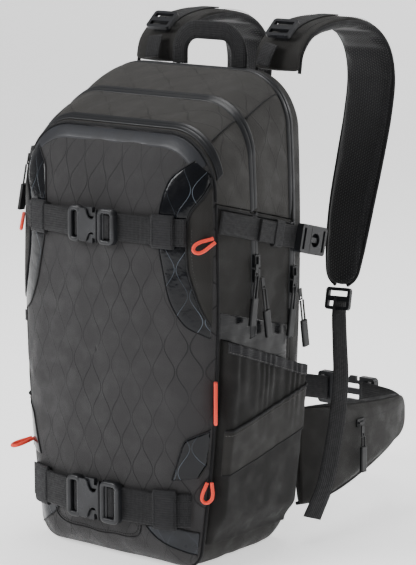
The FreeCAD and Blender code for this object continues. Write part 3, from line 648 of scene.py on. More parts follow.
# ---- camera, floor and light --------------------------------------------------------------------
VIEW_AZIMUTH, VIEW_ELEVATION, VIEW_DISTANCE = math.radians(39), math.radians(10.5), 3000.0
AIM = Vector((0.0, 88.0, 284.0))
SENSOR, FRAME_HEIGHT = 36.0, 648.0     # the view takes in this height at the aim point
toward = Vector((math.sin(VIEW_AZIMUTH) * math.cos(VIEW_ELEVATION),
                 -math.cos(VIEW_AZIMUTH) * math.cos(VIEW_ELEVATION), math.sin(VIEW_ELEVATION)))


def make_camera():
    data = bpy.data.cameras.new("camera")
    data.lens = SENSOR * VIEW_DISTANCE / FRAME_HEIGHT
    data.sensor_width = SENSOR
    camera = bpy.data.objects.new("camera", data)
    camera.location = (AIM + toward * VIEW_DISTANCE) * MM
    camera.rotation_euler = toward.to_track_quat("Z", "Y").to_euler()
    bpy.context.scene.collection.objects.link(camera)
    bpy.context.scene.camera = camera


def area_light(name, place, size, power):
    """A soft light at a place in metres that faces the pack."""
    data = bpy.data.lights.new(name, "AREA")
    data.shape = "DISK"
    data.size = size
    data.energy = power
    lamp = bpy.data.objects.new(name, data)
    lamp.location = place
    lamp.rotation_euler = (Vector(place) - Vector((0.0, 0.0, 0.28))).to_track_quat("Z", "Y").to_euler()
    bpy.context.scene.collection.objects.link(lamp)


def make_floor():
    """A floor that sweeps up behind the pack."""
    depth = np.concatenate([np.linspace(-6000, 3000, 10), 3000 + 900 * np.sin(np.linspace(0.15, 1.57, 9))])
    height = np.concatenate([np.zeros(10), 900 * (1 - np.cos(np.linspace(0.15, 1.57, 9)))])
    width = np.linspace(-6000, 6000, 5)
    grid = np.stack([np.broadcast_to(width[:, None], (5, 19)), np.broadcast_to(depth, (5, 19)),
                     np.broadcast_to(height - 0.4, (5, 19))], -1)
    floor = make_mesh("studio_floor", grid.reshape(-1, 3), grid_faces(5, 19, False), None, [studio_floor])


make_camera()
make_floor()
area_light("key", (-1.5, -2.4, 1.9), 1.6, 95.0)
area_light("fill", (2.6, -0.9, 1.2), 1.2, 9.0)
area_light("top", (-0.2, 0.5, 2.6), 1.4, 42.0)
area_light("back", (1.2, 2.6, 1.6), 1.4, 24.0)
world = bpy.data.worlds.new("studio")
world.use_nodes = True
world.node_tree.nodes["Background"].inputs[0].default_value = rgba(1.0, 1.0, 1.0)
world.node_tree.nodes["Background"].inputs[1].default_value = 0.34
bpy.context.scene.world = world

# ---- bag cloth ----------------------------------------------------------------------------------
WALL = 2.6
UPPER_Z, UPPER_WEB, LOWER_Z, LOWER_WEB = 376.0, 30.0, 70.0, 38.0


def hinged(obj, replaces=()):
    """A piece of front cloth with its placement baked into its mesh."""
    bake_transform(obj)
    if replaces:
        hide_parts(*replaces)
    return obj


def front_relief(points):
    """How far the front cloth stands proud: pulled in under the straps, full between them, creased."""
    x, z = points[..., 0], points[..., 2]
    inside = ease(np.abs(x), 128, 95)
    pulled = -2.2 * bump(z, UPPER_Z, 13) - 2.4 * bump(z, LOWER_Z, 18)
    full = 1.4 * bump(z, 225, 90)
    soft = 0.9 * fbm(points, 70.0, 3.0, 2)
    slant = (x + 128) * 0.45 + (z - 195) * 0.9
    creases = 1.5 * np.sin(slant / 8.5) * bump(x, -104, 22) * bump(z, 190, 42)
    tucks = 0.8 * np.sin((x * 0.9 + z * 0.35) / 6.0) * bump(z, 30, 16) * ease(np.abs(x), 120, 100)
    right_pull = 1.1 * np.sin((z * 0.8 - x * 0.7) / 9.0) * bump(x, 78, 24) * bump(z, 275, 40)
    return inside * (pulled + full + soft + right_pull) + creases + tucks


def front_panel():
    rings, around = 64, 240
    u = np.linspace(0, 1, around, endpoint=False)
    edge_x, edge_z = outline_point(np.full(around, CORNER_Y), u)
    middle_z = 0.5 * (edge_z.max() + edge_z.min())
    grow = np.linspace(0.0003, 1, rings)[:, None]
    grow = 1 - (1 - grow)**1.35
    x, z = edge_x * grow, middle_z + (edge_z - middle_z) * grow
    points, normals = front_points(x * 0.9995, middle_z + (z - middle_z) * 0.9995)
    points = points + normals * front_relief(points)[..., None]
    uvs = np.stack([x, z], -1)
    obj = sheet_mesh("front_panel", points, normals, WALL, uvs, front_cloth, lining_cloth, wrap=True)
    return hinged(obj, ("front_panel_lower", "upper_front_panel"))


def skin_sheet(name, y, u, material, body, replaces=(), lift=0.0, relief=None, lining=None, wrap=False,
               thickness=WALL):
    """A sheet on the bag's skin over a grid of depths y and outline places u."""
    points, normals = skin_points(y, u)
    if relief is not None:
        points = points + normals * relief(points)[..., None]
    points = points + normals * lift
    run = np.cumsum(np.linalg.norm(np.diff(points, axis=0, prepend=points[:1]), axis=2), axis=0)
    uvs = np.stack([y - CORNER_Y + 4.0, run], -1)
    obj = sheet_mesh(name, points, normals, thickness, uvs, material, lining, wrap=wrap)
    return finish_piece(obj, body, replaces)


def side_relief(points):
    y = points[..., 1]
    middle = ease(y, -62, -45) * ease(y, 60, 45) * (1 - 0.8 * bump(y, SECOND_ZIP_Y, 9))
    return middle * (1.0 * fbm(points, 55.0, 9.0, 3) + 0.8)


def top_relief(points):
    """Small wrinkles across the top between the zips."""
    x, y = points[..., 0], points[..., 1]
    between = ease(y, -50, -42) * ease(y, -13, -20)
    waves = np.sin(x / 7.5 + 1.6 * np.sin(y / 11)) * bump(x, -75, 42)
    return side_relief(points) + between * (0.9 * waves + 0.5 * fbm(points, 22.0, 5.0, 2))


def lower_shell():
    y = np.linspace(CORNER_Y, MAIN_ZIP_Y, 60)[None, :]
    share = np.linspace(-1, 1, 220)[:, None]
    u = share * edge_place(y) + 0 * y
    skin_sheet("lower_shell", np.broadcast_to(y, u.shape), u, side_cloth, "root",
               ("side_panels", "base_panel"), relief=side_relief, lining=lining_cloth)


def flap_rear(u):
    """Rear edge of the flap: below the fold line's height it keeps inside the circle that it turns on."""
    rear = MAIN_ZIP_Y - 0.4
    z = outline_point(np.full(np.shape(u), rear), u)[1]
    reach = rear - FLAP_AXIS_Y
    return FLAP_AXIS_Y + np.sqrt(reach**2 - np.clip(FLAP_AXIS_Z - z, 0, 60)**2)


def flap_grid(columns, rows, front, rear=None):
    """Depths and outline places over the flap, from its right edge across the top to the left one."""
    share = np.linspace(0, 1, rows)[:, None]
    first = edge_place(np.array([MAIN_ZIP_Y - 0.4]))[0] + 0.002
    back = flap_rear(first + share * (1 - 2 * first)) if rear is None else np.full(share.shape, rear)
    y = front + np.linspace(0, 1, columns)[None, :] * (back - front)
    edge = edge_place(y) + 0.0006
    return y, edge + share * (1 - 2 * edge)


def flap_gusset():
    y, u = flap_grid(56, 260, CORNER_Y)
    skin_sheet("flap_gusset_cloth", y, u, upper_cloth, "flap", ("flap_gusset",),
               relief=top_relief, lining=lining_cloth)


def rear_gusset():
    y = np.linspace(MAIN_ZIP_Y, BACK_Y, 14)[:, None]
    u = np.linspace(0, 1, 300, endpoint=False)[None, :]
    points, normals = skin_points(np.broadcast_to(y, (14, 300)), np.broadcast_to(u, (14, 300)))
    run = np.broadcast_to(u * 1450.0, (14, 300))
    obj = sheet_mesh("rear_gusset_cloth", points, normals, WALL,
                     np.stack([np.broadcast_to(y, (14, 300)), run], -1),
                     side_cloth, lining_cloth, wrap=True)
    finish_piece(obj, "root", ("rear_gusset",))


def back_panel():
    rings, around = 24, 200
    u = np.linspace(0, 1, around, endpoint=False)
    edge_x, edge_z = outline_point(np.full(around, BACK_Y), u)
    middle_z = 0.5 * (edge_z.max() + edge_z.min())
    grow = np.linspace(0.0003, 1, rings)[:, None]
    x, z = edge_x * grow, middle_z + (edge_z - middle_z) * grow
    points = np.stack([x, np.full(x.shape, BACK_Y), z], -1)
    normals = np.broadcast_to(np.array([0.0, 1.0, 0.0]), points.shape)
    obj = sheet_mesh("back_panel_cloth", points, normals, WALL, np.stack([x, z], -1), back_cloth,
                     lining_cloth, wrap=True)
    finish_piece(obj, "root", ("back_panel",))


front_panel()
lower_shell()
flap_gusset()
rear_gusset()
back_panel()

# ---- zip tapes ----------------------------------------------------------------------------------
ZIP_WIDTH, ZIP_END_Z = 12.0, 242.0


def place_at_height(y, z):
    """Outline place u on the right side at height z."""
    low, high = FOOT_TURN, TOP_TURN
    for _ in range(30):
        middle = 0.5 * (low + high)
        low, high = (middle, high) if outline_point(y, middle)[1] < z else (low, middle)
    return 0.5 * (low + high)


def tape_band(name, y0, y1, u0, u1, profile, count, y_limit=None, material=None):
    """A strip along the skin between depths y0 and y1 whose height across follows the profile."""
    profile = np.asarray(profile, float)
    u = np.linspace(u0, u1, count)[:, None]
    share = np.linspace(0, 1, len(profile))[None, :]
    y = y0 + share * (y1 - y0) + 0 * u
    if y_limit is not None:
        y = np.minimum(y, y_limit(u) - (y1 - y) * 0.02)
    points, normals = skin_points(y, u + 0 * share)
    points = points + normals * profile[None, :, None]
    run = np.cumsum(np.linalg.norm(np.diff(points, axis=0, prepend=points[:1]), axis=2), axis=0)
    return sheet_mesh(name, points, normals, 0.9, np.stack([y, run], -1), material or tape_film)


FULL_TAPE = (0.6, 1.2, 1.4, 1.45, 1.5, 1.5, 1.5, 1.0, 1.5, 1.5, 1.5, 1.45, 1.4, 1.2, 0.6)
HALF_TAPE = (0.6, 1.2, 1.4, 1.45, 1.5, 1.5, 1.45, 1.1)


def zip_pair(name, y, end_z, flap_node, body_node):
    """One zip: the tape above the fold rides on the flap, the tape below it on the bag."""
    half = ZIP_WIDTH / 2
    edge = float(edge_place(np.array([y]))[0])
    end = float(place_at_height(y, end_z))
    if y == MAIN_ZIP_Y:
        top = [tape_band(flap_node + "_cloth", y - half, y - 0.4, edge + 0.001, 1 - edge - 0.001,
                         HALF_TAPE, 260, flap_rear)]
        body = [tape_band(body_node + "_cloth", y + 0.1, y + half, edge - 0.001, 1 - edge + 0.001,
                          HALF_TAPE[::-1], 260)]
    else:
        top = [tape_band(flap_node + "_cloth", y - half, y + half, edge + 0.001, 1 - edge - 0.001,
                         FULL_TAPE, 260)]
        body = []
    body += [tape_band(name + "_right", y - half, y + half, end, edge - 0.001, FULL_TAPE, 60),
             tape_band(name + "_left", y - half, y + half, 1 - edge + 0.001, 1 - end, FULL_TAPE, 60)]
    finish_piece(joined(flap_node + "_cloth", top), "flap", (flap_node,))
    finish_piece(joined(body_node + "_cloth", body), "root", (body_node,))


zip_pair("main_zip_side", MAIN_ZIP_Y, ZIP_END_Z, "main_zip_flap_tape", "main_zip_body_tape")
zip_pair("second_zip_side", SECOND_ZIP_Y, ZIP_END_Z + 12, "second_zip_flap_tape", "second_zip_body_tape")
POCKET_ZIP_Y, POCKET_ZIP_END_Z = -56.0, 434.0
pocket_end = float(place_at_height(POCKET_ZIP_Y, POCKET_ZIP_END_Z))
pocket_tape = tape_band("pocket_zip_cloth", POCKET_ZIP_Y - 4.5, POCKET_ZIP_Y + 4.5, pocket_end,
                        1 - pocket_end, FULL_TAPE, 220)
finish_piece(pocket_tape, "flap", ("pocket_zip_tape",))
# the facing strip is a real piece; its paler film colour is a painted sheen
facing = tape_band("pocket_zip_facing", -76.0, -65.5, pocket_end + 0.02, 1 - pocket_end - 0.02,
                   (0.25, 0.7, 0.75, 0.8, 0.8, 0.75, 0.7, 0.3), 200, material=painted_sheen_film)
finish_piece(facing, "flap")


# ---- film panels, flaps, seams and stitches on the front ----------------------------------------
def front_curve(points, count):
    """A smooth curve over the front: x and z through the given points."""
    path = smooth_path([(x, z, 0.0) for x, z in points], count)
    return path[:, 0], path[:, 1]


def relief_place(x, z, lift):
    reach = side_points(np.full(np.shape(z), CORNER_Y), z)[0][..., 0] - 1.6
    x = np.clip(x, -reach, reach)
    points, normals = front_points(x, z)
    return points + normals * (front_relief(points) + lift)[..., None], normals


def front_patch(name, inner, outer, rows, columns, lift, material, thickness=0.7, crown=0.0):
    """A panel sewn on the front between two curves; both run the same way."""
    xi, zi = front_curve(inner, rows)
    xo, zo = front_curve(outer, rows)
    share = np.linspace(0, 1, columns)[None, :]
    x = xi[:, None] + share * (xo - xi)[:, None]
    z = zi[:, None] + share * (zo - zi)[:, None]
    rim = np.minimum(np.minimum(share, 1 - share) * (columns - 1) / 1.5, 1.0)
    points, normals = relief_place(x, z, lift)
    points = points - normals * (0.45 * (1 - rim) * np.ones_like(x))[..., None]
    if crown:
        points = points + normals * (crown * np.sin(np.pi * share) * np.ones_like(x))[..., None]
    uvs = np.stack([x, z], -1)
    return sheet_mesh(name, points, normals, thickness, uvs, material)


CRESCENT_IN = [(112, 451), (98, 440), (88, 428), (82, 400), (82, 380), (82, 360), (89, 325), (97, 297),
               (111, 275), (126, 266), (133, 261)]
CRESCENT_OUT = [(132.5, 434), (126, 414), (116, 398), (112, 380), (112, 362), (114, 335), (120, 312),
                (126, 293), (133, 276)]
FLAP_OUT = [(134, 430), (134, 414), (134, 398), (134, 380), (134, 362), (134, 335), (134, 312), (134, 294),
            (134, 278)]
WEDGE_IN = [(132, 161), (126, 157), (112, 150), (108, 145), (104, 132), (100, 118), (95, 103)]
WEDGE_OUT = [(133, 136), (132, 131), (126, 120), (120, 106)]
CORNER_IN = [(64, 48), (72, 40), (82, 33), (94, 26), (106, 20), (117, 14)]
CORNER_OUT = [(95, 50), (104, 47), (113, 44), (121, 40), (126, 33), (129, 26)]


def on_side(points, side):
    return [(x * side, z) for x, z in points]


def curve_on_front(curve, count, lift):
    x, z = front_curve(curve, count)
    return relief_place(x, z, lift)


def stitches(name, places, normals, material=None, pitch=3.4, length=2.3, radius=0.38):
    """A row of thread: short capsules that dip at both ends, along a path."""
    run = np.concatenate([[0], np.cumsum(np.linalg.norm(np.diff(places, axis=0), axis=1))])
    starts = np.arange(0.6, run[-1] - length, pitch)
    turn = np.linspace(0, 2 * math.pi, 5, endpoint=False)
    verts, faces = [], []
    for start in starts:
        ends = np.array([start, start + 0.5 * length, start + length])
        centre = np.stack([np.interp(ends, run, places[:, k]) for k in range(3)], 1)
        up = np.array([np.interp(start, run, normals[:, k]) for k in range(3)])
        centre += up * np.array([-0.25, 0.15, -0.25])[:, None]
        along = centre[2] - centre[0]
        side = np.cross(along, up)
        side /= np.linalg.norm(side) + 1e-9
        first = len(verts)
        for k, size in ((0, 0.6), (1, 1.0), (2, 0.6)):
            verts += [centre[k] + radius * size * (side * math.cos(t) + up * math.sin(t)) for t in turn]
        for k in (0, 5):
            faces += [(first + k + j, first + k + (j + 1) % 5, first + k + 5 + (j + 1) % 5, first + k + 5 + j)
                      for j in range(5)]
        faces += [tuple(range(first, first + 5))[::-1], tuple(range(first + 10, first + 15))]
    return make_mesh(name, verts, faces, np.zeros((len(verts), 2)), [material or thread])


def front_dressing():
    """Film crescents, wedges and corner patches, the side flaps between them and the corner seam."""
    for word, side in (("right", 1.0), ("left", -1.0)):
        hinged(front_patch(word + "_crescent", on_side(CRESCENT_IN, side), on_side(CRESCENT_OUT, side),
                           110, 14, 1.3, gloss_film))
        hinged(front_patch(word + "_side_flap", on_side(CRESCENT_OUT, side), on_side(FLAP_OUT, side), 90, 12,
                           1.6, side_cloth, 1.2, 1.2))
        places, normals = curve_on_front(on_side(CRESCENT_IN, side), 110, 0.7)
        hinged(tube(word + "_crescent_edge", places, 0.8, dark_cloth, 110, 6))
        places, normals = curve_on_front(on_side(CRESCENT_OUT, side), 110, 1.5)
        hinged(tube(word + "_flap_edge", places, 1.3, dark_cloth, 110, 8))
        inward = [(x + 5.0, z) for x, z in CRESCENT_OUT[3:-1]]
        places, normals = curve_on_front(on_side(inward, side), 90, 2.2)
        hinged(stitches(word + "_flap_stitches", places, normals))
        wedge = front_patch(word + "_wedge", on_side(WEDGE_IN, side), on_side(WEDGE_OUT, side), 50, 12, 1.2,
                            gloss_film)
        finish_piece(wedge, "root")
        edge_places = curve_on_front(on_side(WEDGE_IN, side), 60, 0.7)[0]
        finish_piece(tube(word + "_wedge_edge", edge_places, 0.9, dark_cloth, 60, 6), "root")
        edge_places = curve_on_front(on_side(WEDGE_OUT, side), 60, 1.0)[0]
        finish_piece(tube(word + "_wedge_fold", edge_places, 1.1, side_cloth, 60, 6), "root")
        patch = front_patch(word + "_corner_patch", on_side(CORNER_IN, side), on_side(CORNER_OUT, side),
                            40, 14, 0.6, dull_film)
        finish_piece(patch, "root")
        for number, curve in enumerate((CORNER_IN, CORNER_OUT)):
            places, normals = curve_on_front(on_side(curve, side), 40, 0.6)
            finish_piece(tube(word + "_corner_edge_%d" % number, places, 0.6, dark_cloth, 40, 6), "root")
    pocket_edge = [(-70, 46), (-66, 38), (-56, 33), (-30, 31), (0, 30), (30, 31), (48, 33), (55, 38),
                   (58, 47)]
    places, normals = curve_on_front(pocket_edge, 120, 0.5)
    finish_piece(tube("foot_pocket_seam", places, 0.7, dark_cloth, 120, 6), "root")
    inner_edge = [(x * 0.96, z + 3.2) for x, z in pocket_edge]
    places, normals = curve_on_front(inner_edge, 120, 0.55)
    finish_piece(stitches("foot_pocket_stitches", places, normals, dark_cloth), "root")


PIPING_RADIUS = 1.7


def corner_seam():
    """Piping along the seam between the front and the sides, cut at the fold."""
    edge = float(edge_place(np.array([CORNER_Y]))[0])
    for name, body, u0, u1, count in (("corner_piping_lower", "root", -edge, edge, 260),
                                      ("corner_piping_upper", "flap", edge + 0.0015, 1 - edge - 0.0015, 200)):
        u = np.linspace(u0, u1, count)
        points, normals = skin_points(np.full(count, CORNER_Y), u)
        points = points + normals * 0.6
        points[:, 2] = np.maximum(points[:, 2], PIPING_RADIUS)
        finish_piece(tube(name, points, PIPING_RADIUS, dark_cloth, count, 8), body)


def gusset_seams():
    """Seams across the sides between the two zips, and the flap's hemmed lower edge."""
    for number, (y0, y1, place) in enumerate(((-0.5, 55.5, 0.395), (-50.0, -13.5, 0.40))):
        for word, mirror in (("right", False), ("left", True)):
            y = np.linspace(y0, y1, 24)
            u = np.full(24, 1 - place if mirror else place)
            points, normals = skin_points(y, u)
            finish_piece(tube("%s_gusset_seam_%d" % (word, number), points + normals * 0.9, 0.8,
                              dark_cloth, 24, 6),
                         "flap")
    y = np.linspace(CORNER_Y + 1, MAIN_ZIP_Y - 6, 60)
    for word, mirror in (("right", False), ("left", True)):
        u = edge_place(y) - 0.002
        points, normals = skin_points(y, 1 - u if mirror else u)
        relief = side_relief(points)[:, None]
        finish_piece(tube(word + "_fold_hem", points + normals * (relief + 0.4), 1.0, dark_cloth, 60, 6),
                     "root")


front_dressing()
corner_seam()
gusset_seams()

# ---- straps on the front ------------------------------------------------------------------------
WEB_LIFT, WEB_THICK = 4.0, 1.9


def front_band_path(x0, x1, z, lift, count=40):
    x = np.linspace(x0, x1, count)
    points, normals = front_points(x, np.full(count, z))
    return points + normals * lift


PLUG_TRAVEL = 28.0
# each front buckle: name, height, webbing width, then its own length, width and thickness
BUCKLES = (("upper", UPPER_Z, UPPER_WEB, 66.0, 40.0, 10.0),
           ("lower", LOWER_Z, LOWER_WEB, 76.0, 48.0, 11.0))
BAR_INSET = 11.0         # the webbing ends this far inside each end of its buckle
PLUG_ROOM = 2.0          # the loose layer stays this far past the plug's travel
WEB_END, LAYER_INSET, LAYER_END = 112.0, 14.0, 86.0
KEEPER_START, KEEPER_END, KEEPER_THICK = 76.0, 100.0, 6.6
KEEPER_ROOM = 7.0        # a keeper is this much wider than its webbing
KEEPER_SEAMS = (78.0, 98.0)


def front_straps():
    """Webbing from each buckle to the seams, its loose layer, and the elastic keepers round both."""
    webs, keepers, threads = [], [], []
    for _, z, web, length, _, _ in BUCKLES:
        plug_end = 0.5 * length
        inner = plug_end - BAR_INSET
        for side in (1.0, -1.0):
            path = front_band_path(inner * side, WEB_END * side, z, WEB_LIFT)
            webs.append(sweep("web", path, (0, 0, 1), web, flat_section(WEB_THICK), strap_weave))
            # the loose layer starts past the plug's travel on the side where the plug slides
            layer_start = plug_end + PLUG_TRAVEL + PLUG_ROOM if side > 0 else inner + LAYER_INSET
            path = front_band_path(layer_start * side, LAYER_END * side, z, WEB_LIFT + WEB_THICK + 0.1)
            webs.append(sweep("web", path, (0, 0, 1), web - 0.6, flat_section(WEB_THICK), strap_weave))
            path = front_band_path(KEEPER_START * side, KEEPER_END * side, z, WEB_LIFT + 0.1, 14)
            keepers.append(sweep("keeper", path, (0, 0, 1), web + KEEPER_ROOM, keeper_section(KEEPER_THICK),
                                 elastic_weave))
            for x in KEEPER_SEAMS:
                line = front_band_path(x * side, x * side + 0.001, z, WEB_LIFT + 3.6, 2)
                span = np.linspace(-0.42, 0.42, 12)[:, None] * np.array([[0, 0, web + 5.0]])
                rows = line[0] + span
                threads.append(stitches("thread", rows, np.broadcast_to([0.0, -1.0, 0.0], rows.shape),
                                        dark_cloth))
    finish_piece(joined("front_webbing_cloth", webs), "root", ("front_webbings",))
    finish_piece(joined("strap_keeper_cloth", keepers), "root", ("strap_keepers",))
    finish_piece(joined("keeper_stitches", threads), "root")


def keeper_section(thickness):
    """Rounded sleeve section, as wide as the band."""
    turn = np.linspace(0, 2 * math.pi, 24, endpoint=False)
    across = np.sign(np.cos(turn)) * np.abs(np.cos(turn))**0.35
    height = np.sign(np.sin(turn)) * np.abs(np.sin(turn))**0.6 * 0.5 * thickness
    return np.stack([across, height], 1)


def bar_loops():
    """Webbing folded over the bar of each buckle half."""
    for name, z, web, length, _, thick in BUCKLES:
        for side, body in ((-1.0, "root"), (1.0, name + "_male")):
            outer = 0.5 * length - 0.075 * length - 0.5
            inner = outer - 0.085 * length - 3.5
            back, face = -105.9, -105.5 - thick * 0.62
            path = [(side * (outer + 0.4), back, z), (side * (outer - 1.6), 0.5 * (back + face), z),
                    (side * (0.55 * outer + 0.45 * inner), face, z), (side * (inner - 0.5), face + 0.4, z),
                    (side * (inner - 4.0), 0.5 * (back + face), z)]
            loop = sweep("%s_bar_loop_%s" % (name, "a" if side < 0 else "b"), smooth_path(path, 22),
                         (0, 0, 1), web - 4.0, flat_section(1.5), strap_weave)
            finish_piece(loop, body)


def plate(name, outline, y0, y1, bevel, material):
    """An extruded outline in x and z between two depths, with chamfered rims."""
    ring = np.array(outline, float)
    around = np.roll(ring, -1, 0) - np.roll(ring, 1, 0)
    inward = np.stack([-around[:, 1], around[:, 0]], 1)
    inward /= np.linalg.norm(inward, axis=1, keepdims=True)
    area = 0.5 * np.sum(ring[:, 0] * np.roll(ring[:, 1], -1) - np.roll(ring[:, 0], -1) * ring[:, 1])
    small = ring + inward * bevel * (1 if area > 0 else -1)
    layers = [(small, y0), (ring, y0 + bevel), (ring, y1 - bevel), (small, y1)]
    verts = np.concatenate([np.stack([flat[:, 0], np.full(len(ring), y), flat[:, 1]], 1)
                            for flat, y in layers])
    count = len(ring)
    faces = grid_faces(4, count, True)
    faces += [tuple(range(count))[::-1], tuple(range(3 * count, 4 * count))]
    if area > 0:
        faces = [face[::-1] for face in faces]
    obj = make_mesh(name, verts, faces, np.zeros((len(verts), 2)), [material])
    obj.data.polygons.foreach_set("use_smooth", [False] * len(obj.data.polygons))
    return obj


def bar_frame(name, x0, x1, half, y, thick, bar):
    """A closed frame around the webbing slot: bars with rounded edges and corners."""
    r = 5.0
    left, right, top = x0 + 0.5 * bar, x1 - 0.5 * bar, half - 0.5 * bar
    turn = np.linspace(0, math.pi / 2, 7)
    path = []
    for cx, cz, first in ((right - r, top - r, 0.0), (left + r, top - r, 0.5), (left + r, -top + r, 1.0),
                          (right - r, -top + r, 1.5)):
        path += [(cx + r * math.cos(t + first * math.pi), y,
                  cz + r * math.sin(t + first * math.pi)) for t in turn]
    path = np.array(path + path[:2])
    turn = np.linspace(0, 2 * math.pi, 16, endpoint=False)
    section = np.stack([np.sign(np.cos(turn)) * np.abs(np.cos(turn))**0.5,
                        np.sign(np.sin(turn)) * np.abs(np.sin(turn))**0.5 * 0.5 * bar], 1)
    return sweep(name, path, (0, 1, 0), thick, section, acetal)


def scaled(outline, length, width):
    return [(x * length, z * width) for x, z in outline]


# waist of the female half, in shares of the buckle's length and width: its upper edge, left to right
WAIST = [(-0.25, 0.46), (-0.12, 0.46), (-0.085, 0.42), (-0.07, 0.33), (-0.03, 0.22), (0.02, 0.185),
         (0.06, 0.20),
         (0.09, 0.27), (0.105, 0.38), (0.12, 0.46), (0.135, 0.46)]


def detailed_buckles():
    """Side-release buckles with open frames, an X-shaped waist and a gap where the prongs show."""
    for name, z, _, length, width, thick in BUCKLES:
        back, face = -105.6, -105.5 - thick
        waist = scaled(WAIST + [(x, -w) for x, w in WAIST[::-1]], length, width)
        waist = [(x, z + dz) for x, dz in waist]
        middle = 0.5 * (back + face)
        frame_bar = 0.085 * length
        female = [plate("waist", waist, face, face + 0.24 * thick, 0.7, acetal),
                  plate("waist", waist, back - 0.24 * thick, back, 0.7, acetal)]
        female.append(bar_frame("frame", -0.5 * length, -0.215 * length, 0.5 * width, middle, thick - 0.6,
                                frame_bar))
        male = [bar_frame("frame", 0.14 * length, 0.5 * length, 0.5 * width, middle, thick - 0.6, frame_bar)]
        for half in female[2:] + male:
            for vertex in half.data.vertices:
                vertex.co.z += z * MM
        tongue = [(-0.2, 0.08), (0.16, 0.08), (0.16, -0.08), (-0.2, -0.08)]
        tongue = [(x, z + dz) for x, dz in scaled(tongue, length, width)]
        male.append(plate("tongue", tongue, middle - 2.0, middle + 2.0, 0.5, acetal))
        shoulder = [(0.128, 0.40), (0.17, 0.46), (0.26, 0.46), (0.26, -0.46), (0.17, -0.46), (0.128, -0.40)]
        shoulder = [(x, z + dz) for x, dz in scaled(shoulder, length, width)]
        male.append(plate("shoulder", shoulder, face + 0.26 * thick, back - 0.26 * thick, 0.6, acetal))
        finish_piece(joined(name + "_buckle_socket", female), "root",
                     (name + "_buckle_female",))
        finish_piece(joined(name + "_buckle_plug", male), name + "_male",
                     (name + "_buckle_male",))


front_straps()
bar_loops()
detailed_buckles()

# ---- straps on the sides ------------------------------------------------------------------------
SIDE_STRAP_Z, SIDE_WEB = 387.0, 25.0
STRAP_TILT = math.radians(14)
SIDE_WEB_END = 74.0
SIDE_LAYER = (-4.0, 24.0)
SLEEVE_SPAN = (22.0, 36.0)
side_across = np.array([0.0, math.sin(STRAP_TILT), math.cos(STRAP_TILT)])


def side_band_path(y0, y1, lift, side, count=50, drop=0.0):
    y = np.linspace(y0, y1, count)
    points, normals = side_points(y, SIDE_STRAP_Z - FLAP_SLOPE * (y - CORNER_Y) - drop, side)
    return points + normals * np.broadcast_to(lift, (count,))[:, None]


def side_straps():
    """Compression webbing across each side, its folded layer and the elastic sleeve that holds it."""
    webs, sleeves = [], []
    for side in (1.0, -1.0):
        path = side_band_path(CORNER_Y + 2, SIDE_WEB_END, WEB_LIFT, side)
        webs.append(sweep("web", path, side_across, SIDE_WEB, flat_section(WEB_THICK), strap_weave))
        path = side_band_path(*SIDE_LAYER, WEB_LIFT + 2.3, side, 16)
        webs.append(sweep("web", path, side_across, SIDE_WEB - 0.8, flat_section(2.4), strap_weave))
        path = side_band_path(*SLEEVE_SPAN, WEB_LIFT + 1.0, side, 10)
        sleeves.append(sweep("sleeve", path, side_across, SIDE_WEB + 5.0, keeper_section(KEEPER_THICK),
                             elastic_weave))
    finish_piece(joined("side_webbing_cloth", webs), "root", ("side_webbings",))
    finish_piece(joined("side_elastic_cloth", sleeves), "root", ("side_strap_elastics",))


FILM_Z, FILM_END_Y = 262.0, 55.0
FILM_BELOW, FILM_ABOVE = 22.0, 12.0
FILM_LOW_FALL, FILM_HIGH_FALL = 0.354, 0.26     # how much each edge drops towards the back
FILM_PLACE = 500.0       # one fixed place across the weave for the whole film, in mm


def side_films():
    """Glossy crinkled panel between the side pocket and the zips' lower ends."""
    for word, side in (("right", 1.0), ("left", -1.0)):
        y = np.linspace(CORNER_Y + 2, FILM_END_Y, 60)[None, :] + np.zeros((24, 1))
        share = np.linspace(0, 1, 24)[:, None]
        low = FILM_Z - FILM_LOW_FALL * (y - SECOND_ZIP_Y) - FILM_BELOW
        high = FILM_Z - FILM_HIGH_FALL * (y - SECOND_ZIP_Y) + FILM_ABOVE
        z = low + share * (high - low)
        points, normals = side_points(y, z, side)
        crinkle = 0.5 * fbm(points, 16.0, 2.0, 2) * np.minimum(1, 6 * share * (1 - share))
        points = points + normals * (side_relief(points) + 0.55 + np.maximum(crinkle, -0.4))[..., None]
        film = sheet_mesh(word + "_side_film", points, normals, 0.7, np.stack([y * 0 + FILM_PLACE, z], -1),
                          plain_film)
        finish_piece(film, "root")


side_straps()
side_films()

# ---- side pockets -------------------------------------------------------------------------------
POCKET_Y0, POCKET_Y1, POCKET_Z0, POCKET_BULGE, POCKET_MOUTH_Z = -60.0, 84.0, 27.0, 15.6, 240.0
POCKET_FALL = math.tan(math.radians(19.5))
WING_RISE = math.tan(math.radians(13))


def pocket_shape(y, share):
    """How far the pocket stands out: it rolls out of both seams and swells above the bottom."""
    roll = np.sqrt(np.clip(1 - ease(y, POCKET_Y0 + 12, POCKET_Y0)**2, 0, 1))
    roll = roll * np.sqrt(np.clip(1 - ease(y, POCKET_Y1 - 12, POCKET_Y1)**2, 0, 1))
    return roll * (0.25 + 0.75 * ease(share, 0.0, 0.16))


